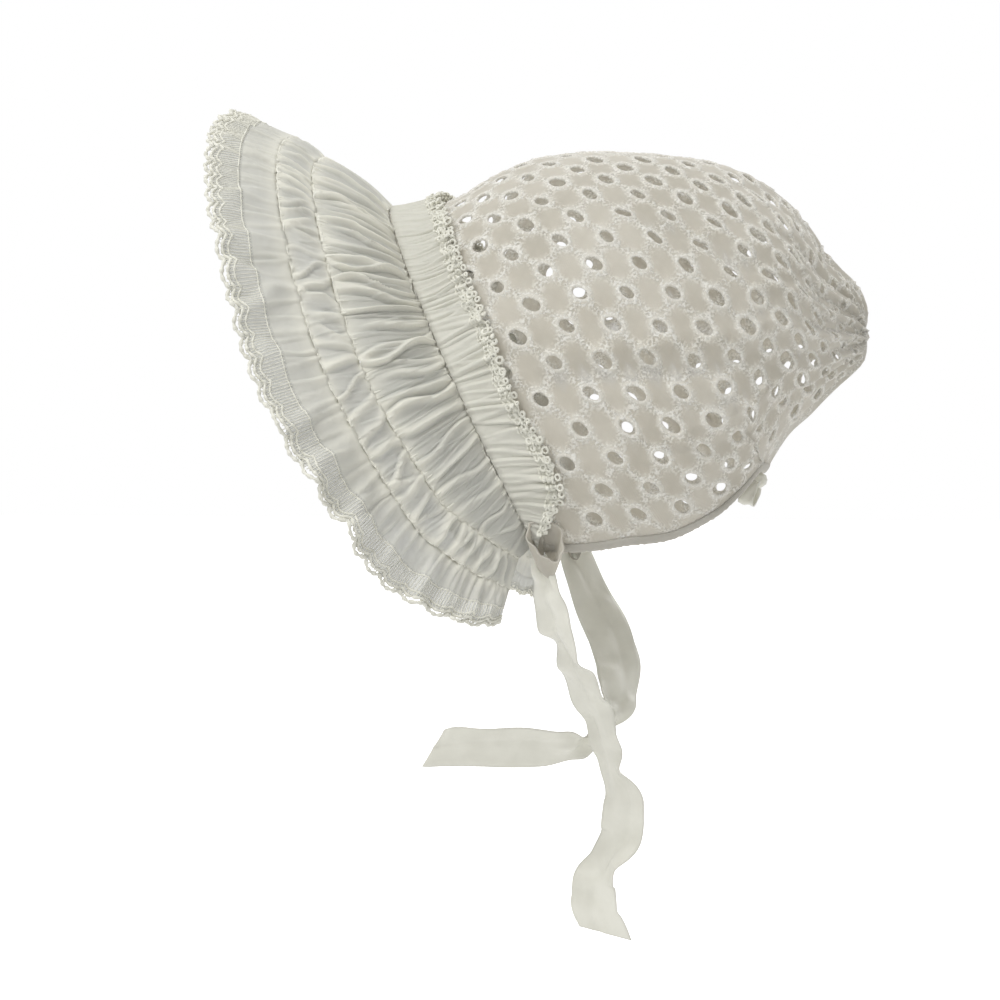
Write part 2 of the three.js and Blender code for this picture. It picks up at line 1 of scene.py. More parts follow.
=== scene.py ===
"""A baby bonnet in white eyelet cotton and sheer organdy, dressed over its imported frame.

Metres, +Z up, -X towards the face, -Y the wearer's left. The sizes and tables of the forms repeat
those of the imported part, so each piece of cloth lies where its solid lies.
"""
import math

import bmesh
import bpy
import numpy as np
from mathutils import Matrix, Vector


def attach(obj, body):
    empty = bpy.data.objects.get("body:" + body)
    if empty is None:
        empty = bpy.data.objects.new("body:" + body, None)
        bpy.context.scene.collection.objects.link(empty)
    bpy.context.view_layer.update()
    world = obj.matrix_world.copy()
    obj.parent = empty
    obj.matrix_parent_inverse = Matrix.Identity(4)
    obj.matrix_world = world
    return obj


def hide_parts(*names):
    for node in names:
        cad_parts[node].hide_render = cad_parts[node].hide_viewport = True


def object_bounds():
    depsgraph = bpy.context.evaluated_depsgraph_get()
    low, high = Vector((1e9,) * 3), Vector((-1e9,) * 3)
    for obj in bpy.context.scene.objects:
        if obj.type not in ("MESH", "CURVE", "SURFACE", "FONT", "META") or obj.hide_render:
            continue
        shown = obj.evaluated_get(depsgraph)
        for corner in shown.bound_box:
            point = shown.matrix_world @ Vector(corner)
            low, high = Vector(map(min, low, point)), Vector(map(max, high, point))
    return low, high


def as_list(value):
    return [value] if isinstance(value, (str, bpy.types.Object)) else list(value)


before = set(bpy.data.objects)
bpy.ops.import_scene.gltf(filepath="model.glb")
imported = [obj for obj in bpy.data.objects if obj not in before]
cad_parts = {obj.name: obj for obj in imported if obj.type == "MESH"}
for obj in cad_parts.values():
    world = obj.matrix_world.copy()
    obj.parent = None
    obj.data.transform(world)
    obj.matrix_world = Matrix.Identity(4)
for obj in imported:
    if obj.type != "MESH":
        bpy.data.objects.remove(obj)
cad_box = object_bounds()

MM = 0.001
rng = np.random.default_rng(11)

# Sizes of the crown
FRONT_REACH = 87 * MM
BACK_REACH = 99 * MM
CROWN_DEPTH = FRONT_REACH + BACK_REACH
CROWN_HEIGHT = 164 * MM
CROWN_WIDTH = 132 * MM
CROWN_FULLNESS = 0.88  # power that rounds the sections: 1 is an ellipse, and less is fuller
CROWN_TOP = 0.75 * MM
CROWN_CLOTH = 0.6 * MM
CROWN_CUT = 220 * MM
EDGE_STEP_POWER = 6  # how near to the neck edge the hoops bend to meet it

# Sizes of the brim
INNER_BAND = 37 * MM
MIDDLE_BAND = 15.5 * MM
EDGE_FRILL = 28 * MM
HEADING_FRILL = 20 * MM
BRIM_CLOTH = 0.35 * MM
BAND_PUFF = 3.2 * MM
HEADING_CLEARANCE = 1.6 * MM

# Sizes of the binding, ties and bow
BINDING_WIDTH = 3.6 * MM
BINDING_THICKNESS = 1.7 * MM
CASING_CUT = 10 * MM
TIE_WIDTH = 19 * MM
TIE_CLOTH = 0.4 * MM
TIE_DROP = 157 * MM
TIE_SPREAD = 48 * MM
TIE_END_SLANT = 12 * MM
TUCK_WIDTH = 13 * MM
TUCK_TILT = 96
TUCK_DEPTH = 2.2 * MM
TUCK_RISE = 0.58  # half the mouth's height, as a share of the tuck's width
TUCK_MOUTH = np.array([5, 6.8, 2.4]) * MM  # from the chin corner: back, outwards and up
TUCK_FOOT = np.array([4.3, -1, -10.5]) * MM
TUCK_SLEEK = 0.18  # width at the foot as a share of the mouth's
SEAM_GAP = 0.35 * MM
BOW_RIBBON = 6 * MM
BOW_LOOP = 13 * MM
BOW_DROOP = 38
BOW_SPREAD = 28

# Steps of the grids
NECK_STEPS = 150
BAND_COLUMNS = 1500
EDGE_COLUMNS = 1700
HEADING_ROWS = 9
TIE_STEPS = 260
TIE_LINES = 15

# The eyelets and their lattice: rows run from the front seam to the tip. Hole and ring are radii
EYELET_ROWS = 36
EYELET_HALF_PITCH = 8.8 * MM
EYELET_HOLE = 2.8 * MM
EYELET_RING = 4.6 * MM
EYELET_OVAL = 0.11
EYELET_SLANT = 55
COLUMN_LEAN = 1.4
ROW_RISE = 0.07
RING_HEIGHT = 0.45 * MM
CELL_STEPS = 5
LEAST_LONG_STEP = 3.4 * MM  # no eyelets where the lattice is drawn in more than this
LEAST_ROUND_STEP = 1.9 * MM


def table(names, rows):
    """A table's rows as named columns."""
    return dict(zip(names.split(), np.array(rows, float).T))


# Crown sections: x is a share of the front reach below 0 and of the back reach above it
CROWN_SECTIONS = table("x top bottom half", [
    (-1, 0.13, 1.13, 0.773),
    (-0.812, 0.125, 1.13, 0.825),
    (-0.714, 0.11, 1.13, 0.85),
    (-0.507, 0.05, 1.13, 0.905),
    (-0.336, 0.015, 1.125, 0.95),
    (-0.128, 0.001, 1.12, 0.99),
    (0, 0, 1.112, 1),
    (0.244, 0.01, 1.06, 0.99),
    (0.395, 0.027, 0.985, 0.95),
    (0.535, 0.062, 0.865, 0.865),
    (0.629, 0.1, 0.745, 0.78),
    (0.71, 0.143, 0.665, 0.69),
    (0.782, 0.2, 0.622, 0.585),
    (0.836, 0.252, 0.585, 0.49),
    (0.892, 0.29, 0.55, 0.39),
    (0.96, 0.335, 0.512, 0.25),
    (0.988, 0.375, 0.49, 0.14),
    (1, 0.43, 0.43, 0),
])

# Neck edge: x as above, and degrees from the top of the head
NECK_EDGE = table("x angle", [
    (-0.2715, 130),
    (-0.034, 130.7),
    (0.081, 130.9),
    (0.233, 133.7),
    (0.383, 137.3),
    (0.475, 141.5),
    (0.535, 145),
    (0.586, 151),
    (0.616, 160),
    (0.631, 180),
])

# Degrees from the top of the head that a hoop's sides aim at, away from the neck edge
HOOP_AIM = table("x angle", [
    (-0.2715, 130),
    (0.1, 131),
    (0.35, 138),
    (0.6, 153),
    (0.8, 168),
    (1, 180),
])

# Long folds in the crown, from place to place: side of the head, u as a share of the way down,
# h as a share of the way back, rise in millimetres, and width as a share of the crown's width
CROWN_FOLDS = table("side u0 h0 u1 h1 rise width", [
    (-1, 0.34, 0.53, 0.44, 0.82, -1.6, 0.022),
    (-1, 0.3, 0.55, 0.4, 0.84, 1.2, 0.025),
    (-1, 0.635, 0.25, 0.545, 0.8, 2.2, 0.022),
    (-1, 0.685, 0.22, 0.6, 0.82, -2.2, 0.028),
    (-1, 0.77, 0.5, 0.66, 0.9, 1.8, 0.022),
    (-1, 0.8, 0.4, 0.8, 0.85, -1.8, 0.025),
    (-1, 0.45, 0.2, 0.47, 0.6, -1.6, 0.1),
    (-1, 0.05, 0.5, 0.02, 0.85, -1.4, 0.04),
    (1, 0.25, 0.5, 0.36, 0.86, -1.6, 0.022),
    (1, 0.5, 0.3, 0.46, 0.85, 2, 0.024),
    (1, 0.56, 0.28, 0.52, 0.82, -2, 0.028),
    (1, 0.76, 0.2, 0.7, 0.85, 1.8, 0.024),
    (1, 0.83, 0.3, 0.78, 0.8, -1.8, 0.026),
    (1, 0.38, 0.2, 0.4, 0.6, -1.5, 0.1),
])

# Degrees that each band leans out, and its width as a share of its own
BRIM_LEAN = table("u inner middle edge", [
    (0, 64, 62, 47),
    (0.3, 53, 50, 42),
    (0.55, 41, 40, 36),
    (0.8, 34, 42, 44),
    (0.9, 30, 47, 50),
    (0.96, 26, 52, 54),
    (1, 20, 56, 58),
])
BRIM_WIDTH = table("u inner middle edge", [
    (0, 0.96, 0.96, 0.96),
    (0.3, 0.95, 0.95, 0.95),
    (0.55, 0.93, 0.95, 0.93),
    (0.8, 0.72, 0.95, 0.86),
    (0.9, 0.48, 0.95, 0.78),
    (0.96, 0.32, 0.9, 0.64),
    (1, 0.22, 0.82, 0.5),
])

# Courses of the ties: shares of the spread, the corner's y, the drop and the ribbon's width
LEFT_TIE = table("x y z turn width", [
    (0.02, 0.99, 0, 30, 0.42),
    (0.08, 0.95, 0.06, 32, 0.6),
    (0.1, 0.9, 0.11, 35, 0.76),
    (0.14, 0.81, 0.18, 38, 0.82),
    (0.21, 0.64, 0.244, 62, 0.85),
    (0.28, 0.51, 0.297, 38, 0.88),
    (0.34, 0.32, 0.37, 35, 0.84),
    (0.43, 0.19, 0.436, 30, 0.7),
    (0.48, 0.13, 0.508, 28, 0.66),
    (0.52, 0.1, 0.56, 50, 0.75),
    (0.62, 0.09, 0.64, 26, 1),
    (0.6, 0.09, 0.72, 30, 1),
    (0.46, 0.09, 0.79, 52, 1),
    (0.38, 0.09, 0.85, 20, 1),
    (0.38, 0.09, 0.9, 12, 1),
    (0.47, 0.09, 0.975, 8, 0.95),
])
RIGHT_TIE = table("x y z turn width", [
    (0.04, 0.99, 0, -34, 0.6),
    (0.12, 0.96, 0.05, -34, 0.8),
    (0.27, 0.84, 0.15, -33, 0.96),
    (0.45, 0.63, 0.25, -24, 1),
    (0.53, 0.46, 0.325, -28, 1),
    (0.54, 0.28, 0.395, -36, 0.85),
    (0.47, 0.16, 0.45, -40, 0.62),
    (0.35, 0.14, 0.495, -44, 0.62),
    (0.2, 0.11, 0.508, -38, 0.74),
    (-0.09, 0.07, 0.513, -30, 1),
    (-0.51, 0.04, 0.515, -26, 1),
    (-0.84, 0.03, 0.516, -26, 1),
    (-1, 0.03, 0.52, -30, 0.9),
])


def smooth_column(rows, along, column, at):
    """Smooth values of a table's column at places along another, with no overshoot."""
    x, y = rows[along], rows[column]
    at = np.clip(at, x[0], x[-1])
    slope = np.diff(y) / np.diff(x)
    before, after = slope[:-1], slope[1:]
    turning = before * after <= 0
    tangent = np.empty_like(y)
    tangent[0], tangent[-1] = slope[0], slope[-1]
    tangent[1:-1] = np.where(turning, 0, 2 * before * after / np.where(turning, 1, before + after))
    i = np.clip(np.searchsorted(x, at, side="right") - 1, 0, len(x) - 2)
    span = x[i + 1] - x[i]
    t = (at - x[i]) / span
    return (
        y[i] * (2 * t**3 - 3 * t**2 + 1)
        + tangent[i] * span * (t**3 - 2 * t**2 + t)
        + y[i + 1] * (3 * t**2 - 2 * t**3)
        + tangent[i + 1] * span * (t**3 - t**2)
    )


def smooth_step(value, low, high):
    """0 below low and 1 above high, with a smooth rise between."""
    t = np.clip((value - low) / (high - low), 0, 1)
    return t * t * (3 - 2 * t)


def unit(vectors):
    return vectors / np.maximum(np.linalg.norm(vectors, axis=-1, keepdims=True), 1e-12)


def at_real_x(rows):
    """A table with its x in metres."""
    reach = np.where(rows["x"] < 0, FRONT_REACH, BACK_REACH)
    return {**rows, "x": rows["x"] * reach}


crown_sections = at_real_x(CROWN_SECTIONS)
neck_rows = at_real_x(NECK_EDGE)
aim_rows = at_real_x(HOOP_AIM)


def section_point(x, angle):
    """Where a section's line lies at an angle from the top of the head."""
    top = CROWN_TOP - smooth_column(crown_sections, "x", "top", x) * CROWN_HEIGHT
    bottom = CROWN_TOP - smooth_column(crown_sections, "x", "bottom", x) * CROWN_HEIGHT
    half = smooth_column(crown_sections, "x", "half", x) * CROWN_WIDTH / 2
    across = np.sign(np.sin(angle)) * np.abs(np.sin(angle)) ** CROWN_FULLNESS
    height = (top + bottom) / 2 + (top - bottom) / 2 * np.cos(angle)
    return np.stack(np.broadcast_arrays(x, half * across, height), axis=-1)


def neck_angle(x):
    return np.radians(smooth_column(neck_rows, "x", "angle", x))


SEAM_TOP = section_point(np.array(-FRONT_REACH), np.array(0.0))
CORNER_X = neck_rows["x"][0]
CHIN_CORNER = section_point(np.array(CORNER_X), neck_angle(CORNER_X))
FACE_TILT = math.atan2(CHIN_CORNER[0] - SEAM_TOP[0], SEAM_TOP[2] - CHIN_CORNER[2])
NAPE_X = neck_rows["x"][-1]
NAPE_SHARE = (NAPE_X - CORNER_X) / (BACK_REACH - CORNER_X)


def find_seam(u):
    """The seam's x at each u, in the leaning plane through its top and the chin corners."""
    angle = u * neck_angle(CORNER_X)
    low = np.full_like(u, -FRONT_REACH)
    high = np.full_like(u, BACK_REACH)
    for _ in range(30):
        middle = (low + high) / 2
        plane = math.tan(FACE_TILT) * (SEAM_TOP[2] - section_point(middle, angle)[..., 2]) - FRONT_REACH
        ahead = middle < plane
        low = np.where(ahead, middle, low)
        high = np.where(ahead, high, middle)
    return low


SEAM_U = np.linspace(0, 1, 401)
SEAM_X = find_seam(SEAM_U)


def crown_place(u, h):
    """x and angle for u from the left chin corner, -1, to the right, and h from seam to tip."""
    seam = np.interp(np.abs(u), SEAM_U, SEAM_X)
    edge_x = CORNER_X + (BACK_REACH - CORNER_X) * h
    end = neck_angle(edge_x)
    aim = np.radians(smooth_column(aim_rows, "x", "angle", edge_x))
    step = (end - aim) * np.sign(u) * np.abs(u) ** EDGE_STEP_POWER
    return seam + (BACK_REACH - seam) * h, u * aim + step


def crown_form(u, h):
    """The crown's plain form."""
    return section_point(*crown_place(u, h))


def crown_normal(u, h):
    x, angle = crown_place(u, h)
    x = np.clip(x, 0.1 * MM - FRONT_REACH, BACK_REACH - 0.2 * MM)
    backwards = section_point(x + 0.1 * MM, angle) - section_point(x - 0.1 * MM, angle)
    around = section_point(x, angle + 1e-3) - section_point(x, angle - 1e-3)
    at_tip = (np.asarray(h) > 0.9995)[..., None]
    return np.where(at_tip, np.array([1.0, 0, 0]), unit(np.cross(backwards, around)))


def normals_of(surface, u, v):
    """Outward unit normals of a brim surface at u, v."""
    step = 1e-3
    along_u = surface(np.minimum(u + step, 1), v) - surface(np.maximum(u - step, -1), v)
    along_v = surface(u, np.minimum(v + step, 1)) - surface(u, np.maximum(v - step, 0))
    return unit(np.cross(along_u, along_v))


def soft_noise(seed, count, low, high, across=4):
    """A smooth random function of u and v, from -1 to 1, made of a few slow waves."""
    source = np.random.default_rng(seed)
    along_u = source.uniform(low, high, count) * source.choice([-1, 1], count)
    along_v = source.uniform(-across, across, count)
    phase = source.uniform(0, 2 * math.pi, count)

    def value(u, v):
        waves = [np.sin(a * u + b * v + c) for a, b, c in zip(along_u, along_v, phase)]
        return sum(waves) / math.sqrt(count * 0.5) * 0.6

    return value


# Crown cloth: gathers that fan from the tip, long folds, and small waves in the cloth
GATHERS = [
    # folds from the top of the head to a chin corner, height, and how far they wander
    (15, 1.1 * MM, 1),
    (34, 0.6 * MM, 2.2),
]
SAG_HEIGHT = 0.9 * MM
CRUMPLE_HEIGHT = 0.16 * MM
crown_sag = soft_noise(3, 7, 6, 16)
crown_crumple = soft_noise(4, 9, 22, 50, 30)
gather_wobble = soft_noise(5, 4, 4, 11)


def crown_relief(u, h):
    """Height of the cloth over the crown's plain form."""
    gathered = smooth_step(h, 0.6, 0.95) * smooth_step(1 - h, 0, 0.004)
    closing = smooth_step(1 - np.abs(u), 0, 0.08)
    wobble = 0.9 * gather_wobble(u, h) * closing
    height = (SAG_HEIGHT * crown_sag(u, h) + CRUMPLE_HEIGHT * crown_crumple(u, h)) * closing
    for count, rise, wander in GATHERS:
        height = height + rise * gathered * np.cos(math.pi * count * (u + 1) + wander * wobble)
    for side, u0, h0, u1, h1, rise, width in zip(*CROWN_FOLDS.values()):
        along = np.array([u1 - u0, h1 - h0])
        from_u, from_h = side * u - u0, h - h0
        share = np.clip((from_u * along[0] + from_h * along[1]) / (along @ along), 0, 1)
        away = np.hypot(from_u - share * along[0], from_h - share * along[1]) * CROWN_DEPTH
        fade = np.sin(math.pi * (0.12 + 0.76 * share))
        height = height + rise * MM * fade * np.exp(-((away / (width * CROWN_WIDTH)) ** 2))
    return height * smooth_step(h, 0, 0.1)


def crown_point(u, h, lift):
    return crown_form(u, h) + crown_normal(u, h) * np.asarray(crown_relief(u, h) + lift)[..., None]


# Meshes
def new_object(name, points, faces, uv, attributes=None):
    """A smooth mesh object from points and faces. uv gives each point its place on the cloth."""
    mesh = bpy.data.meshes.new(name)
    mesh.from_pydata([tuple(p) for p in points.tolist()], [], faces)
    corners = np.empty(len(mesh.loops), dtype=np.int32)
    mesh.loops.foreach_get("vertex_index", corners)
    layer = mesh.uv_layers.new(name="cloth")
    layer.data.foreach_set("uv", np.asarray(uv, np.float32)[corners].ravel())
    for label, values in (attributes or {}).items():
        layer = mesh.attributes.new(label, "FLOAT", "POINT")
        layer.data.foreach_set("value", np.asarray(values, np.float32).ravel())
    mesh.polygons.foreach_set("use_smooth", [True] * len(mesh.polygons))
    mesh.update()
    piece = bpy.data.objects.new(name, mesh)
    bpy.context.scene.collection.objects.link(piece)
    return piece


def weld(piece, distance):
    """Merges points that meet, and turns every face outwards."""
    work = bmesh.new()
    work.from_mesh(piece.data)
    bmesh.ops.remove_doubles(work, verts=work.verts, dist=distance)
    bmesh.ops.dissolve_degenerate(work, edges=work.edges, dist=distance / 4)
    bmesh.ops.recalc_face_normals(work, faces=work.faces)
    work.to_mesh(piece.data)
    work.free()
    piece.data.update()


def cloth_grid(name, points, thickness, across, along, attributes=None):
    """A thin closed sheet on a grid of points. across and along are the places on its flat cloth."""
    columns, rows = points.shape[:2]
    uv = np.stack(np.broadcast_arrays(across, along), axis=-1)
    offset = unit(np.cross(np.gradient(points, axis=0), np.gradient(points, axis=1))) * (thickness / 2)
    both = np.concatenate([(points + offset).reshape(-1, 3), (points - offset).reshape(-1, 3)])
    count = columns * rows
    index = np.arange(count).reshape(columns, rows)
    a, b, c, d = index[:-1, :-1], index[1:, :-1], index[1:, 1:], index[:-1, 1:]
    top = np.stack([a, b, c, d], axis=-1).reshape(-1, 4)
    bottom = np.stack([d, c, b, a], axis=-1).reshape(-1, 4) + count
    rim = np.concatenate([index[:, 0], index[-1, 1:], index[-2::-1, -1], index[0, -2:0:-1]])
    after = np.roll(rim, -1)
    walls = np.stack([after, rim, rim + count, after + count], axis=-1)
    faces = np.concatenate([top, bottom, walls]).tolist()
    doubled = {label: np.tile(values.ravel(), 2) for label, values in (attributes or {}).items()}
    return new_object(name, both, faces, np.tile(uv.reshape(-1, 2), (2, 1)), doubled)


def tube_parts(path, normals, radii, sides=5, flatten=1.0):
    """Points and faces of a closed tube along a path. flatten is its height as a share of its width."""
    tangent = unit(np.gradient(path, axis=0))
    beside = unit(np.cross(tangent, normals))
    out = np.cross(beside, tangent)
    turn = np.linspace(0, 2 * math.pi, sides, endpoint=False)
    ring = beside[:, None] * np.cos(turn)[:, None] + out[:, None] * (flatten * np.sin(turn))[:, None]
    points = (path[:, None] + ring * np.asarray(radii)[:, None, None]).reshape(-1, 3)
    count = len(path)
    index = np.arange(count * sides).reshape(count, sides)
    after = np.roll(index, -1, axis=1)
    quads = np.stack([index[:-1], after[:-1], after[1:], index[1:]], axis=-1).reshape(-1, 4).tolist()
    return points, quads + [index[0][::-1].tolist(), index[-1].tolist()]


def joined(name, parts):
    """One object from a list of (points, faces)."""
    points, faces, start = [], [], 0
    for part_points, part_faces in parts:
        points.append(part_points)
        faces += [[start + k for k in face] for face in part_faces]
        start += len(part_points)
    piece = new_object(name, np.concatenate(points), faces, np.zeros((start, 2)))
    weld(piece, 1e-7)
    return piece


# Crown with its eyelets
def lattice_table():
    """h for shares of the way from seam to tip: even steps in front, drawn together at the tip."""
    u = np.linspace(0, 1, 161)
    h = np.linspace(0, 1, 1201)
    grid = crown_form(u[:, None], h[None, :])
    steps = np.linalg.norm(np.diff(grid, axis=1), axis=-1)
    run = np.concatenate([np.zeros((len(u), 1)), np.cumsum(steps, axis=1)], axis=1)
    columns = round(run[0, -1] / EYELET_HALF_PITCH)
    nominal = columns * EYELET_HALF_PITCH
    share = np.linspace(0, 1, 201)
    places = []
    for row in run:
        power = max(1.0, nominal / row[-1])
        reached = row[-1] * (1 - (1 - share) ** power)
        places.append(np.interp(reached, row, h))
    return u, share, np.array(places), columns


LATTICE_U, LATTICE_SHARE, LATTICE_H, LATTICE_COLUMNS = lattice_table()
HALF_ROWS = EYELET_ROWS // 2


def lattice_place(a, b):
    """u and h of a place in the lattice. Rows rise towards the back, and columns lean with the seam."""
    middle = np.sin(math.pi * np.clip(a / LATTICE_COLUMNS, 0, 1))
    a = a - COLUMN_LEAN * np.sin(math.pi * b / HALF_ROWS) * middle
    u = b / HALF_ROWS
    back = a / LATTICE_COLUMNS
    rise = ROW_RISE * smooth_step(back, 0, 0.55) * smooth_step(-back, -1, -0.6)
    u = u - rise * np.sign(u) * np.sin(math.pi * np.abs(u))
    last_i, last_j = len(LATTICE_U) - 1, len(LATTICE_SHARE) - 1
    i = np.clip(np.abs(u) * last_i, 0, last_i)
    j = np.clip(back * last_j, 0, last_j)
    i0 = np.minimum(i.astype(int), last_i - 1)
    j0 = np.minimum(j.astype(int), last_j - 1)
    di, dj = i - i0, j - j0
    low = LATTICE_H[i0, j0] * (1 - dj) + LATTICE_H[i0, j0 + 1] * dj
    high = LATTICE_H[i0 + 1, j0] * (1 - dj) + LATTICE_H[i0 + 1, j0 + 1] * dj
    return u, low * (1 - di) + high * di


def cell_size(a, b):
    """Sizes in metres of a lattice step at a place: front to back, and round the head."""
    step = 0.2
    ahead, behind = lattice_place(a + step, b), lattice_place(a - step, b)
    above, below = lattice_place(a, b + step), lattice_place(a, b - step)
    long_way = np.linalg.norm(crown_form(*ahead) - crown_form(*behind), axis=-1)
    round_way = np.linalg.norm(crown_form(*above) - crown_form(*below), axis=-1)
    return long_way / (2 * step), round_way / (2 * step)


def cell_frame(a, b):
    """The places round a diamond cell, from its back corner."""
    corners = np.array([(1, 0), (0, 1), (-1, 0), (0, -1)], float)
    share = np.arange(CELL_STEPS) / CELL_STEPS
    sides = [corners[k] * (1 - t) + corners[(k + 1) % 4] * t for k in range(4) for t in share]
    return np.array(sides) + np.array([a, b])


RINGS = [
    # share of the way from the cell's edge, 0, to the ring, 1, to the hole, 2, height and thread
    (0.0, 0.0, 0.0),
    (0.6, 0.0, 0.1),
    (1.0, 0.15, 0.75),
    (1.28, 0.85, 1.0),
    (1.62, 1.0, 1.0),
    (1.88, 0.55, 0.95),
    (2.0, 0.0, 0.6),
]


class CrownMesh:
    """Collects lattice places and faces, sharing the places on the cells' edges."""

    def __init__(self):
        self.places, self.lifts, self.threads, self.faces = [], [], [], []
        self.shared = {}

    def add(self, place, lift, thread):
        self.places.append(place)
        self.lifts.append(lift)
        self.threads.append(thread)
        return len(self.places) - 1

    def edge(self, place, side):
        key = (round(place[0] * CELL_STEPS), round(place[1] * CELL_STEPS), side)
        if key not in self.shared:
            self.shared[key] = self.add(place, side * CROWN_CLOTH / 2, 0.0)
        return self.shared[key]

    def strip(self, outer, inner):
        for k in range(len(outer)):
            after = (k + 1) % len(outer)
            self.faces.append([outer[k], outer[after], inner[after], inner[k]])


# Where gathers at the side pull the eyelets into slits: its start and run in u and h, and its reach
SQUEEZE_START = np.array([-0.33, 0.5])
SQUEEZE_RUN = np.array([-0.12, 0.36])
SQUEEZE_REACH = 0.055


def squeezed(a, b):
    """How far an eyelet is pulled into a slit, from 0 to 1."""
    away = np.array(lattice_place(np.array(a, float), np.array(b, float))) - SQUEEZE_START
    share = np.clip(away @ SQUEEZE_RUN / (SQUEEZE_RUN @ SQUEEZE_RUN), 0, 1)
    return math.exp(-((np.linalg.norm(away - share * SQUEEZE_RUN) / SQUEEZE_REACH) ** 2))


def add_eyelet(mesh, a, b, size):
    """One diamond cell with its hole, the worked ring round it, and the wall of the hole."""
    squeeze = squeezed(a, b)
    swell = rng.uniform(0.84, 1.1) * (1 - 0.2 * squeeze)
    oval = EYELET_OVAL * rng.uniform(0.4, 1.8) + 0.32 * squeeze
    slant = math.radians(EYELET_SLANT - 20 * squeeze + rng.uniform(-24, 24))
    shift = rng.uniform(-0.05, 0.05, 2)
    turn = np.linspace(0, 2 * math.pi, 4 * CELL_STEPS, endpoint=False)

    def loop(radius, stretch, most):
        away = radius * swell * (1 + stretch * np.cos(2 * (turn + slant)))
        x = away * np.cos(turn) / size[0]
        y = away * np.sin(turn) / size[1]
        tightest = max(np.abs(x).max() / most, np.abs(y).max() / most, 1)
        return np.stack([x, y], axis=-1) / tightest + shift + np.array([a, b])

    border = cell_frame(a, b)
    ring = loop(EYELET_RING, oval * 0.35, 0.6)
    hole = loop(EYELET_HOLE, oval, 0.4)
    lumps = rng.uniform(0.6, 1.3, len(turn))
    loops = [[mesh.edge(tuple(p), 1) for p in border]]
    for share, height, thread in RINGS[1:]:
        outer, inner, between = (border, ring, share) if share <= 1 else (ring, hole, share - 1)
        spot = outer * (1 - between) + inner * between
        lifts = CROWN_CLOTH / 2 + RING_HEIGHT * height * lumps
        loops.append([mesh.add(tuple(p), lift, thread) for p, lift in zip(spot, lifts)])
    for outer, inner in zip(loops, loops[1:]):
        mesh.strip(outer, inner)
    under = [mesh.add(tuple(p), -CROWN_CLOTH / 2, 0.9) for p in hole]
    mesh.strip(loops[-1], under)
    mesh.strip(under, [mesh.edge(tuple(p), -1) for p in border])


ON_EDGE = 1e-9  # how far past the cloth's edge still counts as on it


def add_plain_cell(mesh, a, b):
    """A cell without a hole, cut off where it passes the cloth's edge."""
    for i in range(CELL_STEPS):
        for j in range(CELL_STEPS):
            inside = []
            for x, y in [(i, j), (i + 1, j), (i + 1, j + 1), (i, j + 1)]:
                place = (a + (x - y) / CELL_STEPS, b - 1 + (x + y) / CELL_STEPS)
                within = -ON_EDGE <= place[0] <= LATTICE_COLUMNS + ON_EDGE
                if within and abs(place[1]) <= HALF_ROWS + ON_EDGE:
                    inside.append(place)
            if len(inside) < 3:
                continue
            mesh.faces.append([mesh.edge(p, 1) for p in inside])
            mesh.faces.append([mesh.edge(p, -1) for p in reversed(inside)])


def close_edges(mesh):
    """Walls between the two sides along the front seam and the neck edge. The back seam is welded."""
    uses = {}
    for face in mesh.faces:
        for start, end in zip(face, face[1:] + face[:1]):
            uses.setdefault((min(start, end), max(start, end)), []).append((start, end))
    below = {top: mesh.shared[(*key[:2], -1)] for key, top in mesh.shared.items() if key[2] == 1}
    for edge in uses.values():
        start, end = edge[0]
        if len(edge) > 1 or start not in below or end not in below:
            continue
        places = np.array([mesh.places[start], mesh.places[end]])
        _, h = lattice_place(places[:, 0], places[:, 1])
        welded = np.all(np.abs(places[:, 1]) == HALF_ROWS) and h.min() >= NAPE_SHARE - 1e-6
        if not welded:
            mesh.faces.append([end, start, below[start], below[end]])


def make_crown():
    """The hood of eyelet cotton, holed all over and gathered to its tip."""
    mesh = CrownMesh()
    centres = [
        (a, b)
        for a in range(0, LATTICE_COLUMNS + 1)
        for b in range(-HALF_ROWS, HALF_ROWS + 1)
        if (a + b) % 2 == 0
    ]
    places = np.array(centres, float)
    long_way, round_way = cell_size(np.clip(places[:, 0], 0.3, LATTICE_COLUMNS - 0.3), places[:, 1] * 0.99)
    for (a, b), long_step, round_step in zip(centres, long_way, round_way):
        whole = 1 <= a <= LATTICE_COLUMNS - 1 and abs(b) <= HALF_ROWS - 1
        if whole and long_step > LEAST_LONG_STEP and round_step > LEAST_ROUND_STEP:
            add_eyelet(mesh, a, b, (long_step, round_step))
        else:
            add_plain_cell(mesh, a, b)
    close_edges(mesh)
    places = np.array(mesh.places)
    u, h = lattice_place(places[:, 0], places[:, 1])
    points = crown_point(u, h, np.array(mesh.lifts))
    piece = new_object("crown_cloth", points, mesh.faces, places, {"thread": mesh.threads})
    weld(piece, 2e-5)
    return piece


# Brim
FACE_AXIS = np.array([-math.cos(FACE_TILT), 0, -math.sin(FACE_TILT)])
LOWER_CORNER = crown_form(np.array(1.0), np.array(0.0)) * np.array([1, 0, 1])
FACE_CENTRE = (SEAM_TOP + LOWER_CORNER) / 2
BANDS = [("inner", INNER_BAND), ("middle", MIDDLE_BAND), ("edge", EDGE_FRILL)]


def brim_direction(u, name):
    """The way that a band runs outwards from its inner gathers."""
    lean = np.radians(smooth_column(BRIM_LEAN, "u", name, np.abs(u)))[..., None]
    outward = crown_form(u, np.zeros_like(u)) - FACE_CENTRE
    outward = unit(outward - (outward @ FACE_AXIS)[..., None] * FACE_AXIS)
    return np.cos(lean) * FACE_AXIS + np.sin(lean) * outward


def band_width(u, name, width):
    return width * smooth_column(BRIM_WIDTH, "u", name, np.abs(u))


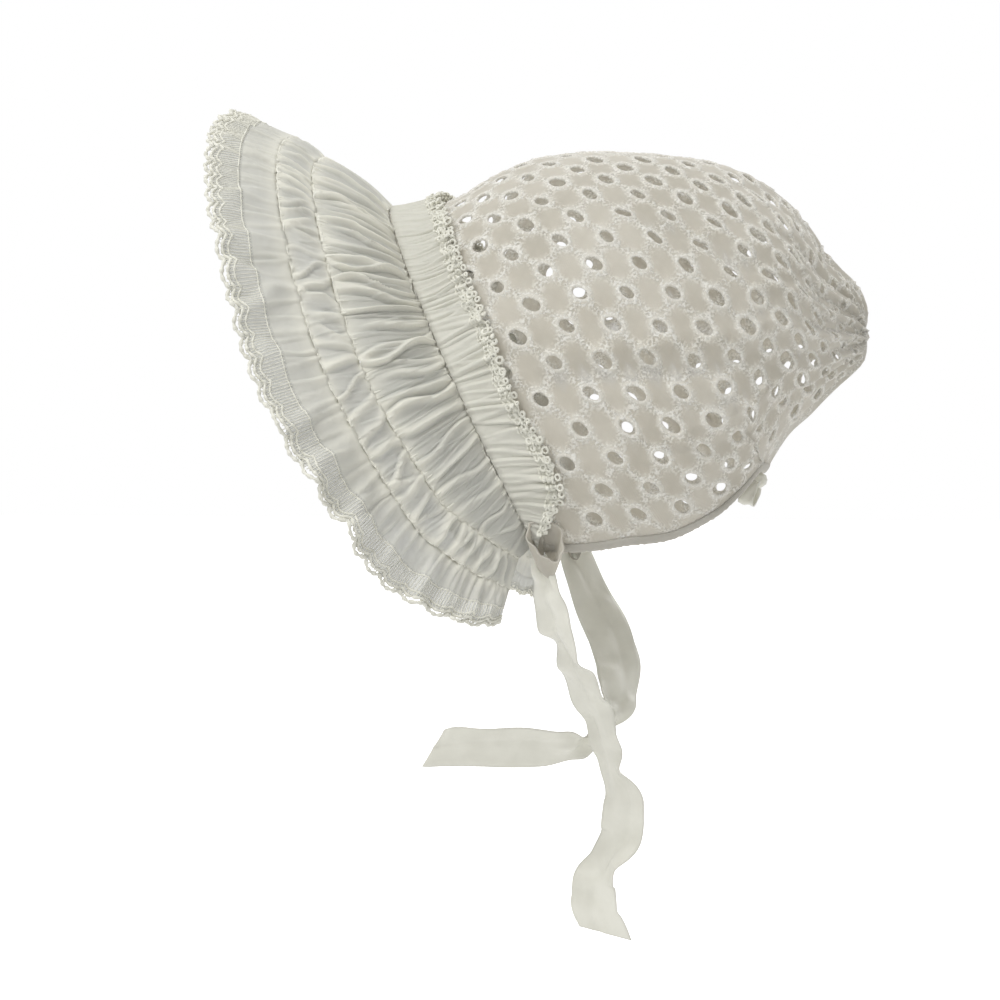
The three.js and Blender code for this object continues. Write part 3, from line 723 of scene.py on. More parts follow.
def band_start(u, order):
    """A band's inner line, where the bands before it end."""
    point = crown_form(u, np.zeros_like(u))
    for name, width in BANDS[:order]:
        point = point + brim_direction(u, name) * band_width(u, name, width)[..., None]
    return point


def band_surface(order):
    """The plain surface of a band: v runs from its inner gathers, 0, to its outer ones, 1."""
    name, width = BANDS[order]

    def surface(u, v):
        u, v = np.broadcast_arrays(u, v)
        reach = band_width(u, name, width) * v
        return band_start(u, order) + brim_direction(u, name) * reach[..., None]

    return surface


def with_relief(surface, relief):
    """A surface raised along its outward normal."""

    def raised(u, v, lift=0.0):
        u, v = np.broadcast_arrays(np.asarray(u, float), np.asarray(v, float))
        height = relief(u, v) + lift
        return surface(u, v) + normals_of(surface, u, np.clip(v, 0, 1)) * np.asarray(height)[..., None]

    return raised


# Folds across the bands, by share of the way from the top to a chin corner: the gap to the next
# fold and its width as shares of that way, and its rise in millimetres
INNER_FOLDS = table("u gap width rise", [
    (0, 0.07, 0.009, 0.9),
    (0.14, 0.045, 0.008, 1.6),
    (0.22, 0.018, 0.0065, 2.3),
    (0.42, 0.019, 0.0062, 2.2),
    (0.55, 0.028, 0.0068, 2.1),
    (0.7, 0.034, 0.0068, 2),
    (0.85, 0.032, 0.0068, 1.8),
    (1, 0.024, 0.006, 1.4),
])
MIDDLE_FOLDS = table("u gap width rise", [
    (0, 0.04, 0.007, 0.9),
    (0.3, 0.021, 0.0065, 1.4),
    (0.7, 0.024, 0.0065, 1.5),
    (1, 0.02, 0.006, 1.1),
])
EDGE_FLUTES = table("u gap width rise", [
    (0, 0.07, 0.022, 2.2),
    (0.3, 0.055, 0.02, 3.8),
    (0.7, 0.05, 0.018, 4.2),
    (1, 0.045, 0.015, 2.8),
])
EDGE_PLEATS = table("u gap width rise", [
    (0, 0.016, 0.005, 0.5),
    (0.5, 0.014, 0.005, 0.7),
    (1, 0.013, 0.0045, 0.7),
])
WRINKLES = table("u gap width rise", [
    (0, 0.014, 0.003, 0.4),
    (0.5, 0.011, 0.0028, 0.55),
    (1, 0.011, 0.0026, 0.5),
])
HEADING_PLEATS = table("u gap width rise", [
    (0, 0.0125, 0.0048, 1),
    (0.5, 0.0115, 0.0044, 1.3),
    (1, 0.011, 0.0042, 1),
])


def pleating(seed, rows, slant, curl, keen):
    """Folds at random places along a band, each with its own slant, curl and rise.

    keen makes one side of each fold steep, and sets a valley beside it.
    """
    source = np.random.default_rng(seed)
    names = ("gap", "width", "rise")
    folds = []
    for side in (-1, 1):
        place = source.uniform(0, 0.02)
        while place < 1:
            gap, width, rise = [float(smooth_column(rows, "u", name, place)) for name in names]
            lean = source.uniform(-slant, slant)
            bend = source.uniform(-curl, curl)
            start, stop = source.uniform(-0.5, 0.25), source.uniform(0.75, 1.5)
            width = width * source.uniform(0.65, 1.45)
            rise = rise * source.uniform(0.55, 1.3)
            folds.append((side * place, width, rise, lean, bend, start, stop, source.choice([-1, 1])))
            place += gap * source.uniform(0.45, 1.55)

    def value(u, v):
        u, v = np.broadcast_arrays(np.asarray(u, float), np.asarray(v, float))
        height = np.zeros(u.shape)
        for place, width, rise, lean, bend, start, stop, way in folds:
            near = np.abs(u - place) < 4 * width + slant + curl
            if not near.any():
                continue
            along = v[near]
            middle = place + lean * (along - 0.5) + bend * np.sin(math.pi * 2 * along)
            away = way * (u[near] - middle) / width
            steep = np.where(away > 0, 1 + keen, 1)
            ridge = np.exp(-((away * steep) ** 2)) - 0.28 * keen * np.exp(-(((away - 0.95) * 2.6) ** 2))
            fade = smooth_step(along, start - 0.2, start + 0.2)
            fade = fade * smooth_step(-along, -stop - 0.2, -stop + 0.2)
            height[near] += rise * ridge * fade
        return height

    return value


def puffed_band(seed, deep, fine, waves, puff, corner_run, shares, cover):
    """Relief, layers of cloth with painted fold shading, and crumpling of a puffed band, which swells
    between its lines of gathers.

    deep and fine hold numbers for pleating, and waves those for soft_noise. puff is in millimetres,
    and corner_run in u. shares: how strongly the wrinkles, the ruching and the crumpling show.
    cover: how thickly the plain cloth, a millimetre of fold and the seams lie. The fold term follows the
    folds' height, so it also paints the ridges paler and the valleys beside them darker, as painted
    highlight and shade.
    """
    folds = pleating(seed + 1, *deep)
    wrinkles = pleating(seed + 5, WRINKLES, *fine)
    crumple = soft_noise(seed + 2, *waves)
    ruching = pleating(seed + 4, EDGE_PLEATS, 0.003, 0.001, 0.3)
    wrinkled, ruched, crumpled = shares
    plain, folded, seamed = cover

    def relief(u, v):
        swell = np.sin(math.pi * np.clip(v, 0, 1)) ** 0.7
        corner = np.clip((1 - np.abs(u)) / corner_run, 0, 1)
        fold = (folds(u, v) + wrinkled * wrinkles(u, v)) * (0.4 + 0.6 * swell) * corner
        seam = ruched * ruching(u, v) * (1 - swell) ** 1.5
        return (swell * corner * puff + fold + seam + crumpled * crumple(u, v) - 0.4) * MM

    def layers_and_fold_shading(u, v):
        at_seams = (1 - np.sin(math.pi * np.clip(v, 0, 1))) ** 2
        # Partly real, denser gathered cloth at the seams and in the folds, and partly painted light: fold
        # ridges paler, the valleys beside them darker.
        return np.clip(plain + folded * folds(u, v) + seamed * at_seams + 0.1 * crumple(u, v), 0, 1)

    return relief, layers_and_fold_shading, crumple


inner_relief, inner_layers_and_shading, inner_crumple = puffed_band(
    seed=20, deep=(INNER_FOLDS, 0.024, 0.01, 1.1), fine=(0.014, 0.004, 0.8), waves=(9, 30, 80, 9),
    puff=BAND_PUFF / MM - 1, corner_run=0.06, shares=(1, 1.1, 0.22), cover=(0.12, 0.55 / 1.6, 0.9))
middle_relief, middle_layers_and_shading, _ = puffed_band(
    seed=30, deep=(MIDDLE_FOLDS, 0.03, 0.006, 0.9), fine=(0.016, 0.003, 0.8), waves=(8, 30, 80, 7),
    puff=0.9, corner_run=0.04, shares=(0.8, 1, 0.2), cover=(0.2, 0.5 / 1.2, 0.8))
edge_flutes = pleating(41, EDGE_FLUTES, 0.03, 0.008, 0.35)
edge_pleats = pleating(42, EDGE_PLEATS, 0.01, 0.002, 0.5)
edge_sway = soft_noise(43, 6, 12, 34)


def edge_relief(u, v):
    """Height of the frill's flutes and pleats, which open towards its edge."""
    spread = 0.25 + 0.75 * smooth_step(v, 0, 0.8)
    flute = (edge_flutes(u, v) - 1) * spread
    pleat = edge_pleats(u, v) * (1 - 0.6 * smooth_step(v, 0.35, 0.75))
    return (flute + pleat + 0.9 * edge_sway(u, 0.3 * v) * spread - 0.3) * MM


# The net strip along the frill's edge, in shares of the frill's width
NET_START = 0.55
NET_END = 0.93


def edge_layers_and_shading(u, v):
    """How thickly the frill's cloth lies, with its net below 0. Its pleat term also paints the pleats'
    ridges paler and their valleys darker, as painted highlight and shade.
    """
    near_seam = 1 - smooth_step(v, 0, 0.3)
    net = smooth_step(v, NET_START - 0.01, NET_START + 0.01)
    # The pleats' height gives painted highlight on their ridges and painted shade in their valleys,
    # besides the real thicker cloth near the seam.
    cloth = np.clip(0.25 + 0.35 * edge_pleats(u, v) + 0.6 * near_seam + 0.15 * edge_sway(u, v), 0, 1)
    return cloth * (1 - net) - 0.5 * net


inner_cloth = with_relief(band_surface(0), inner_relief)
middle_cloth = with_relief(band_surface(1), middle_relief)
edge_cloth = with_relief(band_surface(2), edge_relief)


def band_grid(name, cloth, layers_and_fold_shading, steps, reach, size):
    """A band of cloth between two shares of its width. Its layer attribute says where folds lie thickly
    over it, and carries painted light too: fold ridges paler, the valleys beside them darker.
    """
    u = np.linspace(1, -1, steps[0])[:, None]
    v = np.linspace(*reach, steps[1])[None, :]
    across, along = u * size[0] / 2, v * size[1]
    return cloth_grid(name, cloth(u, v), BRIM_CLOTH, across, along, {"layers_and_fold_shading": layers_and_fold_shading(u, v)})


def path_on(cloth, u, v, lift):
    """A path on a cloth and the cloth's outward normals along it."""
    points = cloth(u, v, lift)
    normal = unit(cloth(u, v, lift + 1 * MM) - points)
    return points, normal


SCALLOPS = 68
SCALLOP_DEPTH = 0.08
LACE_BARS = 560
LACE_BAR_RADIUS = 0.19 * MM
LACE_CORDS = [
    # share of the frill's width, and radius in millimetres
    (NET_START, 0.28),
    (0.78, 0.42),
    (0.865, 0.6),
    (0.945, 0.72),
]


def edge_lace():
    """A net strip along the frill's edge: a straight cord, three scalloped ones, and bars between."""
    parts = []
    u = np.linspace(-1, 1, 2400)
    scallop = np.abs(np.sin(math.pi * SCALLOPS / 2 * (u + 1) + 0.7 * edge_sway(u, 0)))
    for level, radius in LACE_CORDS:
        v = level + SCALLOP_DEPTH * scallop * (level > NET_START)
        path, normal = path_on(edge_cloth, u, v, 0.3 * MM)
        lumps = 1 + 0.3 * np.sin(math.pi * 240 * (u + 1)) * rng.uniform(0.5, 1.3, len(u))
        parts.append(tube_parts(path, normal, radius * MM * lumps))
    for place in np.linspace(-0.995, 0.995, LACE_BARS):
        along = np.linspace(NET_START - 0.03, 0.97, 9)
        path, normal = path_on(edge_cloth, np.full(9, place), along, 0.25 * MM)
        parts.append(tube_parts(path, normal, np.full(9, LACE_BAR_RADIUS), 4))
    return joined("edge_lace", parts)


def gather_line(name, cloth, v, count):
    """A line of gathers: small uneven tucks and stitches close along a seam of the brim."""
    u = np.linspace(-0.998, 0.998, count * 7)
    wander = 0.01 * np.sin(9 * u * math.pi) + 0.012 * np.sin(math.pi * 31 * u + 2 * inner_crumple(u, 0))
    path, normal = path_on(cloth, u, np.clip(v + wander, 0, 1), 0.15 * MM)
    pulse = np.abs(np.cos(math.pi * count / 2 * (u + 1) + inner_crumple(u, 0.3)))
    radii = (0.13 + 0.38 * pulse * rng.uniform(0.3, 1.2, len(u))) * MM
    parts = [tube_parts(path, normal, radii, flatten=0.7)]
    taper = np.array([0.3, 0.8, 1, 1, 0.8, 0.3]) * MM
    for place in np.sort(rng.uniform(-0.99, 0.99, count)):
        reach = rng.uniform(0.04, 0.12)
        along = np.clip(v + np.linspace(-reach, reach, 6), 0, 1)
        if along[-1] - along[0] < 0.02:
            continue
        tuck, normal = path_on(cloth, np.full(6, place) + rng.uniform(-0.003, 0.003), along, 0.1 * MM)
        parts.append(tube_parts(tuck, normal, rng.uniform(0.3, 0.5) * taper))
    return joined(name, parts)


# Heading frill
heading_pleats = pleating(51, HEADING_PLEATS, 0.022, 0.002, 0.9)
heading_sway = soft_noise(52, 6, 10, 30)


def heading_surface(u, v, lift=0.0):
    """The frill over the crown's front: v from the seam, 0, to its lace edge, 1."""
    u, v = np.broadcast_arrays(np.asarray(u, float), np.asarray(v, float))
    step = 0.1
    run = crown_form(u, np.full_like(u, step)) - crown_form(u, np.zeros_like(u))
    run = np.linalg.norm(run, axis=-1) / step
    width = smooth_step(1 - np.abs(u), -0.02, 0.14) * HEADING_FRILL * (1 + 0.05 * heading_sway(u, 0))
    place = 0.7 * MM / run + v * width / run
    height = HEADING_CLEARANCE + (0.35 + 0.75 * v) * heading_pleats(u, v) * MM
    height = height + 1.1 * MM * v * (1 + heading_sway(u, v)) + lift
    clear = np.maximum(0, crown_relief(u, place))
    return crown_form(u, place) + crown_normal(u, place) * (height + clear)[..., None]


HEADING_KNOTS = [
    # share of the frill's width, and how many loops lie along it
    (0.86, 120),
    (0.96, 150),
    (1.06, 120),
]
HEADING_CORDS = (0.8, 0.91, 1.01)


def heading_lace():
    """Small clumped knots and loops along the heading frill's edge."""
    parts = []
    turn = np.linspace(0, 2 * math.pi, 8)
    for level, count in HEADING_KNOTS:
        for k in range(count):
            u = -0.97 + 1.94 * (k + rng.uniform(0.2, 0.8)) / count
            size = rng.uniform(0.75, 1.35) * MM
            spot = np.array([level + rng.uniform(-0.03, 0.03)])
            centre, normal = path_on(heading_surface, np.array([u]), spot, 0.3 * MM)
            aside, _ = path_on(heading_surface, np.array([min(u + 0.004, 1)]), spot, 0.3 * MM)
            first = unit(aside - centre)
            second = np.cross(normal, first) * rng.uniform(0.7, 1.2)
            loop = centre + size * (first * np.cos(turn)[:, None] + second * np.sin(turn)[:, None])
            radii = np.full(8, rng.uniform(0.4, 0.6) * MM)
            parts.append(tube_parts(loop, np.repeat(normal, 8, axis=0), radii))
    u = np.linspace(-0.97, 0.97, 1300)
    for level in HEADING_CORDS:
        wave = 0.035 * np.sin(math.pi * 52 * u + 3 * heading_sway(u, level))
        path, normal = path_on(heading_surface, u, level + wave, 0.25 * MM)
        parts.append(tube_parts(path, normal, (0.4 + 0.16 * np.sin(math.pi * 260 * u)) * MM))
    return joined("heading_lace", parts)


# Neck edge
def neck_path():
    """Places along the neck edge from chin corner to chin corner, with outward and downward directions."""
    fine = np.linspace(0.012, NAPE_SHARE, 3000)
    steps = np.linalg.norm(np.diff(crown_form(np.ones_like(fine), fine), axis=0), axis=1)
    run = np.concatenate([[0], np.cumsum(steps)])
    h = np.interp(np.linspace(0, run[-1], NECK_STEPS), run, fine)
    left = crown_form(np.full(NECK_STEPS, -1.0), h)
    right = crown_form(np.full(NECK_STEPS, 1.0), h)[::-1]
    points = np.concatenate([left, right[1:]])
    out = np.concatenate([
        crown_normal(np.full(NECK_STEPS, -0.999), h),
        crown_normal(np.full(NECK_STEPS, 0.999), h)[::-1][1:],
    ])
    smooth_points = points.copy()
    for _ in range(6):
        smooth_points[1:-1] = (smooth_points[:-2] + 2 * smooth_points[1:-1] + smooth_points[2:]) / 4
    tangent = unit(np.gradient(smooth_points, axis=0))
    down = unit(np.cross(tangent, out))
    return smooth_points, unit(np.cross(down, tangent)), down


def make_chin_tuck(name, sign):
    """The funnel of cloth at a chin corner, which narrows into the tie."""
    corner = crown_form(np.array(float(sign)), np.array(0.0))
    mouth = corner + TUCK_MOUTH * [1, sign, 1]
    foot = corner + TUCK_FOOT * [1, sign, 1]
    tilt = math.radians(TUCK_TILT)
    upwards = np.array([-0.25, -sign * math.cos(tilt), math.sin(tilt)])
    turn = np.linspace(0.06, 2 * math.pi - 0.06, 61)[:, None]
    along = np.linspace(0, 1, 17)[None, :]
    wave = 1 + 0.1 * np.sin(3 * turn + sign) + 0.07 * np.sin(7 * turn) * (1 - along)
    taper = (1 - along) ** 0.6 * (1 - TUCK_SLEEK) + TUCK_SLEEK
    across = TUCK_WIDTH / 2 * wave * taper * np.sin(turn)
    up = TUCK_WIDTH * TUCK_RISE * wave * taper * np.cos(turn)
    middle = mouth * (1 - along[..., None]) + foot * along[..., None]
    belly = TUCK_DEPTH * np.sin(math.pi * along) ** 0.7 * smooth_step(np.cos(turn), -0.4, 0.8)
    points = middle + across[..., None] * np.array([1.0, 0, 0]) + up[..., None] * upwards
    points = points - belly[..., None] * np.array([0, float(sign), 0])
    return cloth_grid(name, points, CROWN_CLOTH, 1 + turn * 6 * MM, along * -TUCK_FOOT[2])


def make_binding():
    """The narrow rolled casing along the neck edge, puckered where it is stitched."""
    points, out, down = neck_path()
    around = np.linspace(-math.pi + 0.1, math.pi - 0.1, 15)[None, :, None]
    run = np.arange(len(points))
    pucker = (1 + 0.13 * np.cos(run * 1.9) * np.sin(run * 0.37))[:, None, None]
    centre = points + down * (BINDING_WIDTH / 2 - SEAM_GAP)
    swell = np.sign(np.sin(around)) * np.abs(np.sin(around)) ** 0.7
    roll = (
        centre[:, None]
        + down[:, None] * BINDING_WIDTH / 2 * pucker * np.cos(around)
        + out[:, None] * BINDING_THICKNESS / 2 * pucker * swell
    )
    along, across = 1 + run[:, None] * 1.5 * MM, around[..., 0] * 1.6 * MM
    return cloth_grid("neck_casing", roll, BRIM_CLOTH, along, across)


# Ties and bow
def tie_course(rows, sign, at):
    """The middle of a tie and the direction across it, at shares of its length."""
    step = 1 / (len(rows["x"]) - 1)
    even = {**rows, "at": np.arange(len(rows["x"])) * step}
    corner = crown_form(np.array(float(sign)), np.array(0.0))

    def value(column, place):
        return smooth_column(even, "at", column, place)

    def centre(place):
        return np.stack([
            corner[0] + value("x", place) * TIE_SPREAD,
            corner[1] * value("y", place),
            corner[2] - (2 * SEAM_GAP + BINDING_WIDTH) - value("z", place) * TIE_DROP,
        ], axis=-1)

    middle = centre(at)
    tangent = unit(centre(np.minimum(at + 0.012, 1)) - centre(np.maximum(at - 0.012, 0)))
    flat = unit(np.cross(np.array([0.0, -1, 0]), tangent))
    turn = np.radians(value("turn", at))[:, None]
    across = flat * np.cos(turn) + np.cross(tangent, flat) * np.sin(turn)
    return middle, tangent, across, value("width", at) * TIE_WIDTH


def make_tie(name, rows, sign, seed):
    """A satin ribbon with rolled edges and soft creases, and a slanting cut end."""
    at = np.linspace(0, 1, TIE_STEPS)
    middle, tangent, across, width = tie_course(rows, sign, at)
    face = unit(np.cross(across, tangent))
    at, width = at[:, None], width[:, None]
    j = np.linspace(-0.5, 0.5, TIE_LINES)[None, :]
    narrow = 1 - width / TIE_WIDTH
    bend = soft_noise(seed, 6, 10, 34)(at * 2, j * 2) * (0.6 + 1.8 * narrow) * MM
    pleat = narrow * 2.2 * MM * np.cos(2 * math.pi * 1.6 * j + 5 * at)
    cup = (j**2 * 4 - 0.33) * 0.8 * MM * np.sin(9 * at + seed)
    drift = 0.14 * np.sin(7 * at + seed)
    streak = 0.7 * MM * np.exp(-(((j - drift) / 0.08) ** 2))
    height = (bend + pleat + cup + streak) * smooth_step(at, 0, 0.04)
    slant = smooth_step(at, 0.86, 1) * j * TIE_END_SLANT
    points = (
        middle[:, None]
        + across[:, None] * (width * j)[..., None]
        + tangent[:, None] * slant[..., None]
        + face[:, None] * height[..., None]
    )
    run = np.concatenate([[0], np.cumsum(np.linalg.norm(np.diff(middle, axis=0), axis=1))])
    tie = cloth_grid(name, points, TIE_CLOTH, j * TIE_WIDTH, run[:, None])
    return tie, float(run[-1])


def nape_place():
    """The neck path, the number of its middle, the way down there, and the middle of the bow."""
    points, _, down = neck_path()
    middle = len(points) // 2
    nape_down = unit(down[middle] * np.array([1, 0, 1]))
    centre = points[middle] + nape_down * (BINDING_WIDTH + 2 * SEAM_GAP + BOW_RIBBON / 2)
    return points, middle, nape_down, centre


def make_bow_loop(name, sign):
    """One loop of the small bow at the nape."""
    points, middle, nape_down, centre = nape_place()
    beside = unit(points[middle + sign * 16] - points[middle])
    droop = math.radians(BOW_DROOP)
    outwards = unit(beside * math.cos(droop) + nape_down * math.sin(droop))
    across = unit(np.array([1.0, 0, 0]) - outwards * outwards[0])
    lift = np.cross(outwards, across)
    spread = math.radians(BOW_SPREAD)
    angle = np.linspace(spread, 2 * math.pi - spread, 70)[:, None]
    reach = BOW_RIBBON / 2 + SEAM_GAP + BOW_LOOP * (math.cos(spread) - np.cos(angle)) / 2
    height = BOW_LOOP * 0.24 * np.sin(angle)
    j = np.linspace(-0.5, 0.5, 9)[None, :]
    pinch = 0.55 + 0.45 * np.sin(angle / 2)
    ripple = 0.35 * MM * np.cos(9 * j + 3 * angle)
    points = (
        centre
        + outwards * (reach + 0 * j)[..., None]
        + lift * (height + ripple)[..., None]
        + across * (BOW_RIBBON * pinch * j)[..., None]
    )
    return cloth_grid(name, points, TIE_CLOTH, j * BOW_RIBBON, reach)


def make_bow_knot():
    """The small wrap of ribbon in the middle of the bow."""
    *_, centre = nape_place()
    bpy.ops.mesh.primitive_uv_sphere_add(
        segments=28, ring_count=16, radius=BOW_RIBBON / 2, location=centre)
    knot = bpy.context.object
    knot.name = "bow_wrap"
    bpy.ops.object.transform_apply(location=True)
    for vertex in knot.data.vertices:
        offset = vertex.co - Vector(centre)
        crease = 0.3 * MM * math.cos(offset.y / MM * 3.1) + 0.15 * MM * math.cos(offset.z / MM * 4)
        swell = 1 + crease / BOW_RIBBON * 2 - 0.08
        vertex.co = Vector(centre) + Vector((offset.x, offset.y * 0.85, offset.z)) * swell
    bpy.ops.object.shade_smooth()
    return knot


# Materials, with two tones of each cloth, a paler and a deeper one, that its colour drifts between at
# random
COTTON = ((0.625, 0.59, 0.51, 1), (0.5, 0.47, 0.4, 1))
ORGANDY = ((0.91, 0.895, 0.79, 1), (0.83, 0.815, 0.715, 1))
THREAD = ((0.9, 0.89, 0.8, 1), (0.76, 0.75, 0.66, 1))
SATIN = ((0.84, 0.83, 0.74, 1), (0.75, 0.74, 0.65, 1))
STITCHES = (0.95, 0.92, 0.83, 1)
THIN_ORGANDY = (0.69, 0.69, 0.635, 1)


class Nodes:
    """Short calls for the nodes of a shader tree. A value is a socket or a plain value."""

    def __init__(self, tree):
        self.tree = tree

    def node(self, kind, **settings):
        made = self.tree.nodes.new("ShaderNode" + kind)
        for key, value in settings.items():
            setattr(made, key, value)
        return made

    def join(self, value, target):
        if isinstance(value, bpy.types.NodeSocket):
            self.tree.links.new(value, target)
        else:
            target.default_value = value

    def fill(self, made, **values):
        for name, value in values.items():
            self.join(value, made.inputs[name.replace("_", " ")])
        return made.outputs

    def math(self, operation, *values):
        made = self.node("Math", operation=operation)
        for k, value in enumerate(values):
            self.join(value, made.inputs[k])
        return made.outputs[0]

    def noise(self, place, scale, detail):
        return self.fill(self.node("TexNoise"), Vector=place, Scale=scale, Detail=detail)["Fac"]

    def mix(self, factor, first, second):
        made = self.node("Mix", data_type="RGBA")
        return self.fill(made, Factor=factor, A=first, B=second)["Result"]


def shader_group(name, inputs, output):
    """A node group with named sockets: its nodes, the given sockets and the result's."""
    tree = bpy.data.node_groups.new(name, "ShaderNodeTree")
    for socket, kind, value in inputs:
        made = tree.interface.new_socket(socket, in_out="INPUT", socket_type="NodeSocket" + kind)
        if value is not None:
            made.default_value = value
    tree.interface.new_socket(output[0], in_out="OUTPUT", socket_type="NodeSocket" + output[1])
    given = tree.nodes.new("NodeGroupInput").outputs
    result = tree.nodes.new("NodeGroupOutput").inputs[output[0]]
    return Nodes(tree), given, result


def weave_group():
    """Plain weave: height of the threads from a place in metres."""
    inputs = [("Place", "Vector", None), ("Threads per metre", "Float", 2500)]
    nodes, given, height = shader_group("Plain weave", inputs, ("Height", "Float"))
    scaled = nodes.node("VectorMath", operation="SCALE")
    nodes.join(given["Place"], scaled.inputs[0])
    nodes.join(given["Threads per metre"], scaled.inputs["Scale"])
    axes = nodes.fill(nodes.node("SeparateXYZ"), Vector=scaled.outputs[0])
    waves = [nodes.math("SINE", axes[axis]) for axis in ("X", "Y")]
    nodes.join(nodes.math("MULTIPLY", *waves), height)
    return nodes.tree


def tone_group():
    """Cloth colour that drifts a little from place to place."""
    inputs = [
        ("Place", "Vector", None),
        ("Light", "Color", None),
        ("Shade", "Color", None),
        ("Patch scale", "Float", 30),
    ]
    nodes, given, colour = shader_group("Cloth tone", inputs, ("Color", "Color"))
    patches = nodes.noise(given["Place"], given["Patch scale"], 4)
    spread = nodes.fill(nodes.node("MapRange"), Value=patches, From_Min=0.35, From_Max=0.65)
    nodes.join(nodes.mix(spread["Result"], given["Shade"], given["Light"]), colour)
    return nodes.tree


WEAVE = weave_group()
TONE = tone_group()


class Finish(Nodes):
    """A material with a Principled BSDF, and short calls for its nodes."""

    def __init__(self, name, roughness, **values):
        self.material = bpy.data.materials.new(name)
        self.material.use_nodes = True
        super().__init__(self.material.node_tree)
        self.shader = self.tree.nodes["Principled BSDF"]
        self.fill(self.shader, Roughness=roughness, **values)

    def place(self):
        return self.node("TexCoord").outputs["Object"]

    def cloth_place(self):
        return self.node("UVMap", uv_map="cloth").outputs["UV"]

    def attribute(self, name):
        return self.node("Attribute", attribute_name=name).outputs["Fac"]

    def weave(self, place, threads):
        made = self.node("Group", node_tree=WEAVE)
        return self.fill(made, Place=place, Threads_per_metre=threads)["Height"]

    def tone(self, colours, patch_scale=30):
        made = self.node("Group", node_tree=TONE)
        light, shade = colours
        sockets = self.fill(made, Place=self.place(), Light=light, Shade=shade, Patch_scale=patch_scale)
        return sockets["Color"]

    def bump(self, height, distance, strength):
        made = self.node("Bump")
        sockets = self.fill(made, Height=height, Distance=distance, Strength=strength)
        self.fill(self.shader, Normal=sockets["Normal"])

    def colour(self, value):
        self.fill(self.shader, Base_Color=value)


def eyelet_cotton():
    """White cotton lawn with embroidered eyelets and stippled chains of stitches between them."""
    finish = Finish(
        "eyelet_cotton", 0.9, Sheen_Weight=0.1, Alpha=0.88, Subsurface_Weight=0.5,
        Subsurface_Radius=(1, 0.95, 0.9), Subsurface_Scale=3 * MM)
    math_node = finish.math
    uv = finish.fill(finish.node("SeparateXYZ"), Vector=finish.cloth_place())
    lines = []
    for operation in ("ADD", "SUBTRACT"):
        along = math_node(operation, uv["X"], uv["Y"])
        share = math_node("FRACT", math_node("ADD", math_node("MULTIPLY", along, 0.5), 0.5))
        away = math_node("ABSOLUTE", math_node("SUBTRACT", share, 0.5))
        lines.append(math_node("SUBTRACT", 1, math_node("MULTIPLY", away, 4.4)))
    chain = math_node("MAXIMUM", math_node("MAXIMUM", *lines), 0)
    thread = finish.attribute("thread")
    worked = math_node("MINIMUM", math_node("ADD", math_node("MULTIPLY", chain, 0.9), thread), 1)
    grain = finish.noise(finish.place(), 1000, 1)
    stitches = math_node("MULTIPLY", math_node("SUBTRACT", grain, 0.4), 5)
    stitches = math_node("MINIMUM", math_node("MAXIMUM", stitches, 0), 1)
    ring = math_node("MULTIPLY", thread, 0.5)
    speckle = math_node("MAXIMUM", math_node("MULTIPLY", worked, stitches), ring)
    finish.colour(finish.mix(speckle, finish.tone(COTTON), STITCHES))
    weave = finish.weave(finish.place(), 9000)
    height = math_node("ADD", speckle, math_node("MULTIPLY", weave, 0.05))
    finish.bump(height, 0.45 * MM, 0.9)
    return finish.material


def sheer_organdy():
    """Thin white organdy: cool and see-through where it lies single, warmer and denser in its folds, with
    painted highlight on fold ridges and painted shade in the valleys beside them.
    """
    finish = Finish("sheer_organdy", 0.75, Sheen_Weight=0.2)
    layers_and_fold_shading = finish.attribute("layers_and_fold_shading")
    # Colour by the layer attribute: partly real thin and doubled cloth, partly painted light, paler on
    # fold ridges and darker in their valleys.
    finish.colour(finish.mix(layers_and_fold_shading, THIN_ORGANDY, finish.tone(ORGANDY)))
    weave = finish.weave(finish.cloth_place(), 11000)
    crumple = finish.noise(finish.place(), 340, 4)
    finish.bump(finish.math("ADD", finish.math("MULTIPLY", weave, 0.12), crumple), 0.9 * MM, 0.7)
    density = finish.math("ADD", finish.math("MULTIPLY", layers_and_fold_shading, 0.22), 0.72)
    finish.fill(finish.shader, Alpha=density)
    return finish.material


def lace_thread():
    """Twisted white cotton thread."""
    finish = Finish("lace_thread", 0.85, Sheen_Weight=0.1)
    finish.colour(finish.tone(THREAD, 400))
    finish.bump(finish.noise(finish.place(), 2200, 2), 0.4 * MM, 0.8)
    return finish.material


def satin():
    """Cream satin ribbon: smooth, with a soft gloss and fine ribs across."""
    finish = Finish("satin_ribbon", 0.26, Sheen_Weight=0.1, Anisotropic=0.4)
    finish.colour(finish.tone(SATIN, 60))
    weave = finish.weave(finish.cloth_place(), 12000)
    crease = finish.noise(finish.place(), 110, 2)
    finish.bump(finish.math("ADD", finish.math("MULTIPLY", weave, 0.03), crease), 1.4 * MM, 0.5)
    return finish.material


def dress(piece, material, slot, *nodes):
    """Gives a piece its material and hides the solids that it stands for. slot is not used."""
    piece.data.materials.clear()
    piece.data.materials.append(material)
    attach(piece, "root")
    if nodes:
        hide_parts(*nodes)
    return piece


def cut_length(piece, width):
    """How long a strip of that width was cut, from the cloth that is now in its gathers."""
    return sum(face.area for face in piece.data.polygons) / 2 / width


def gathered(piece, width, rests_on, with_pieces=()):
    """Works out the flat size of a gathered sheet cut to that width, and does nothing further with it."""
    flat = (width, cut_length(piece, width))
    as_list(rests_on)
    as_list(with_pieces)


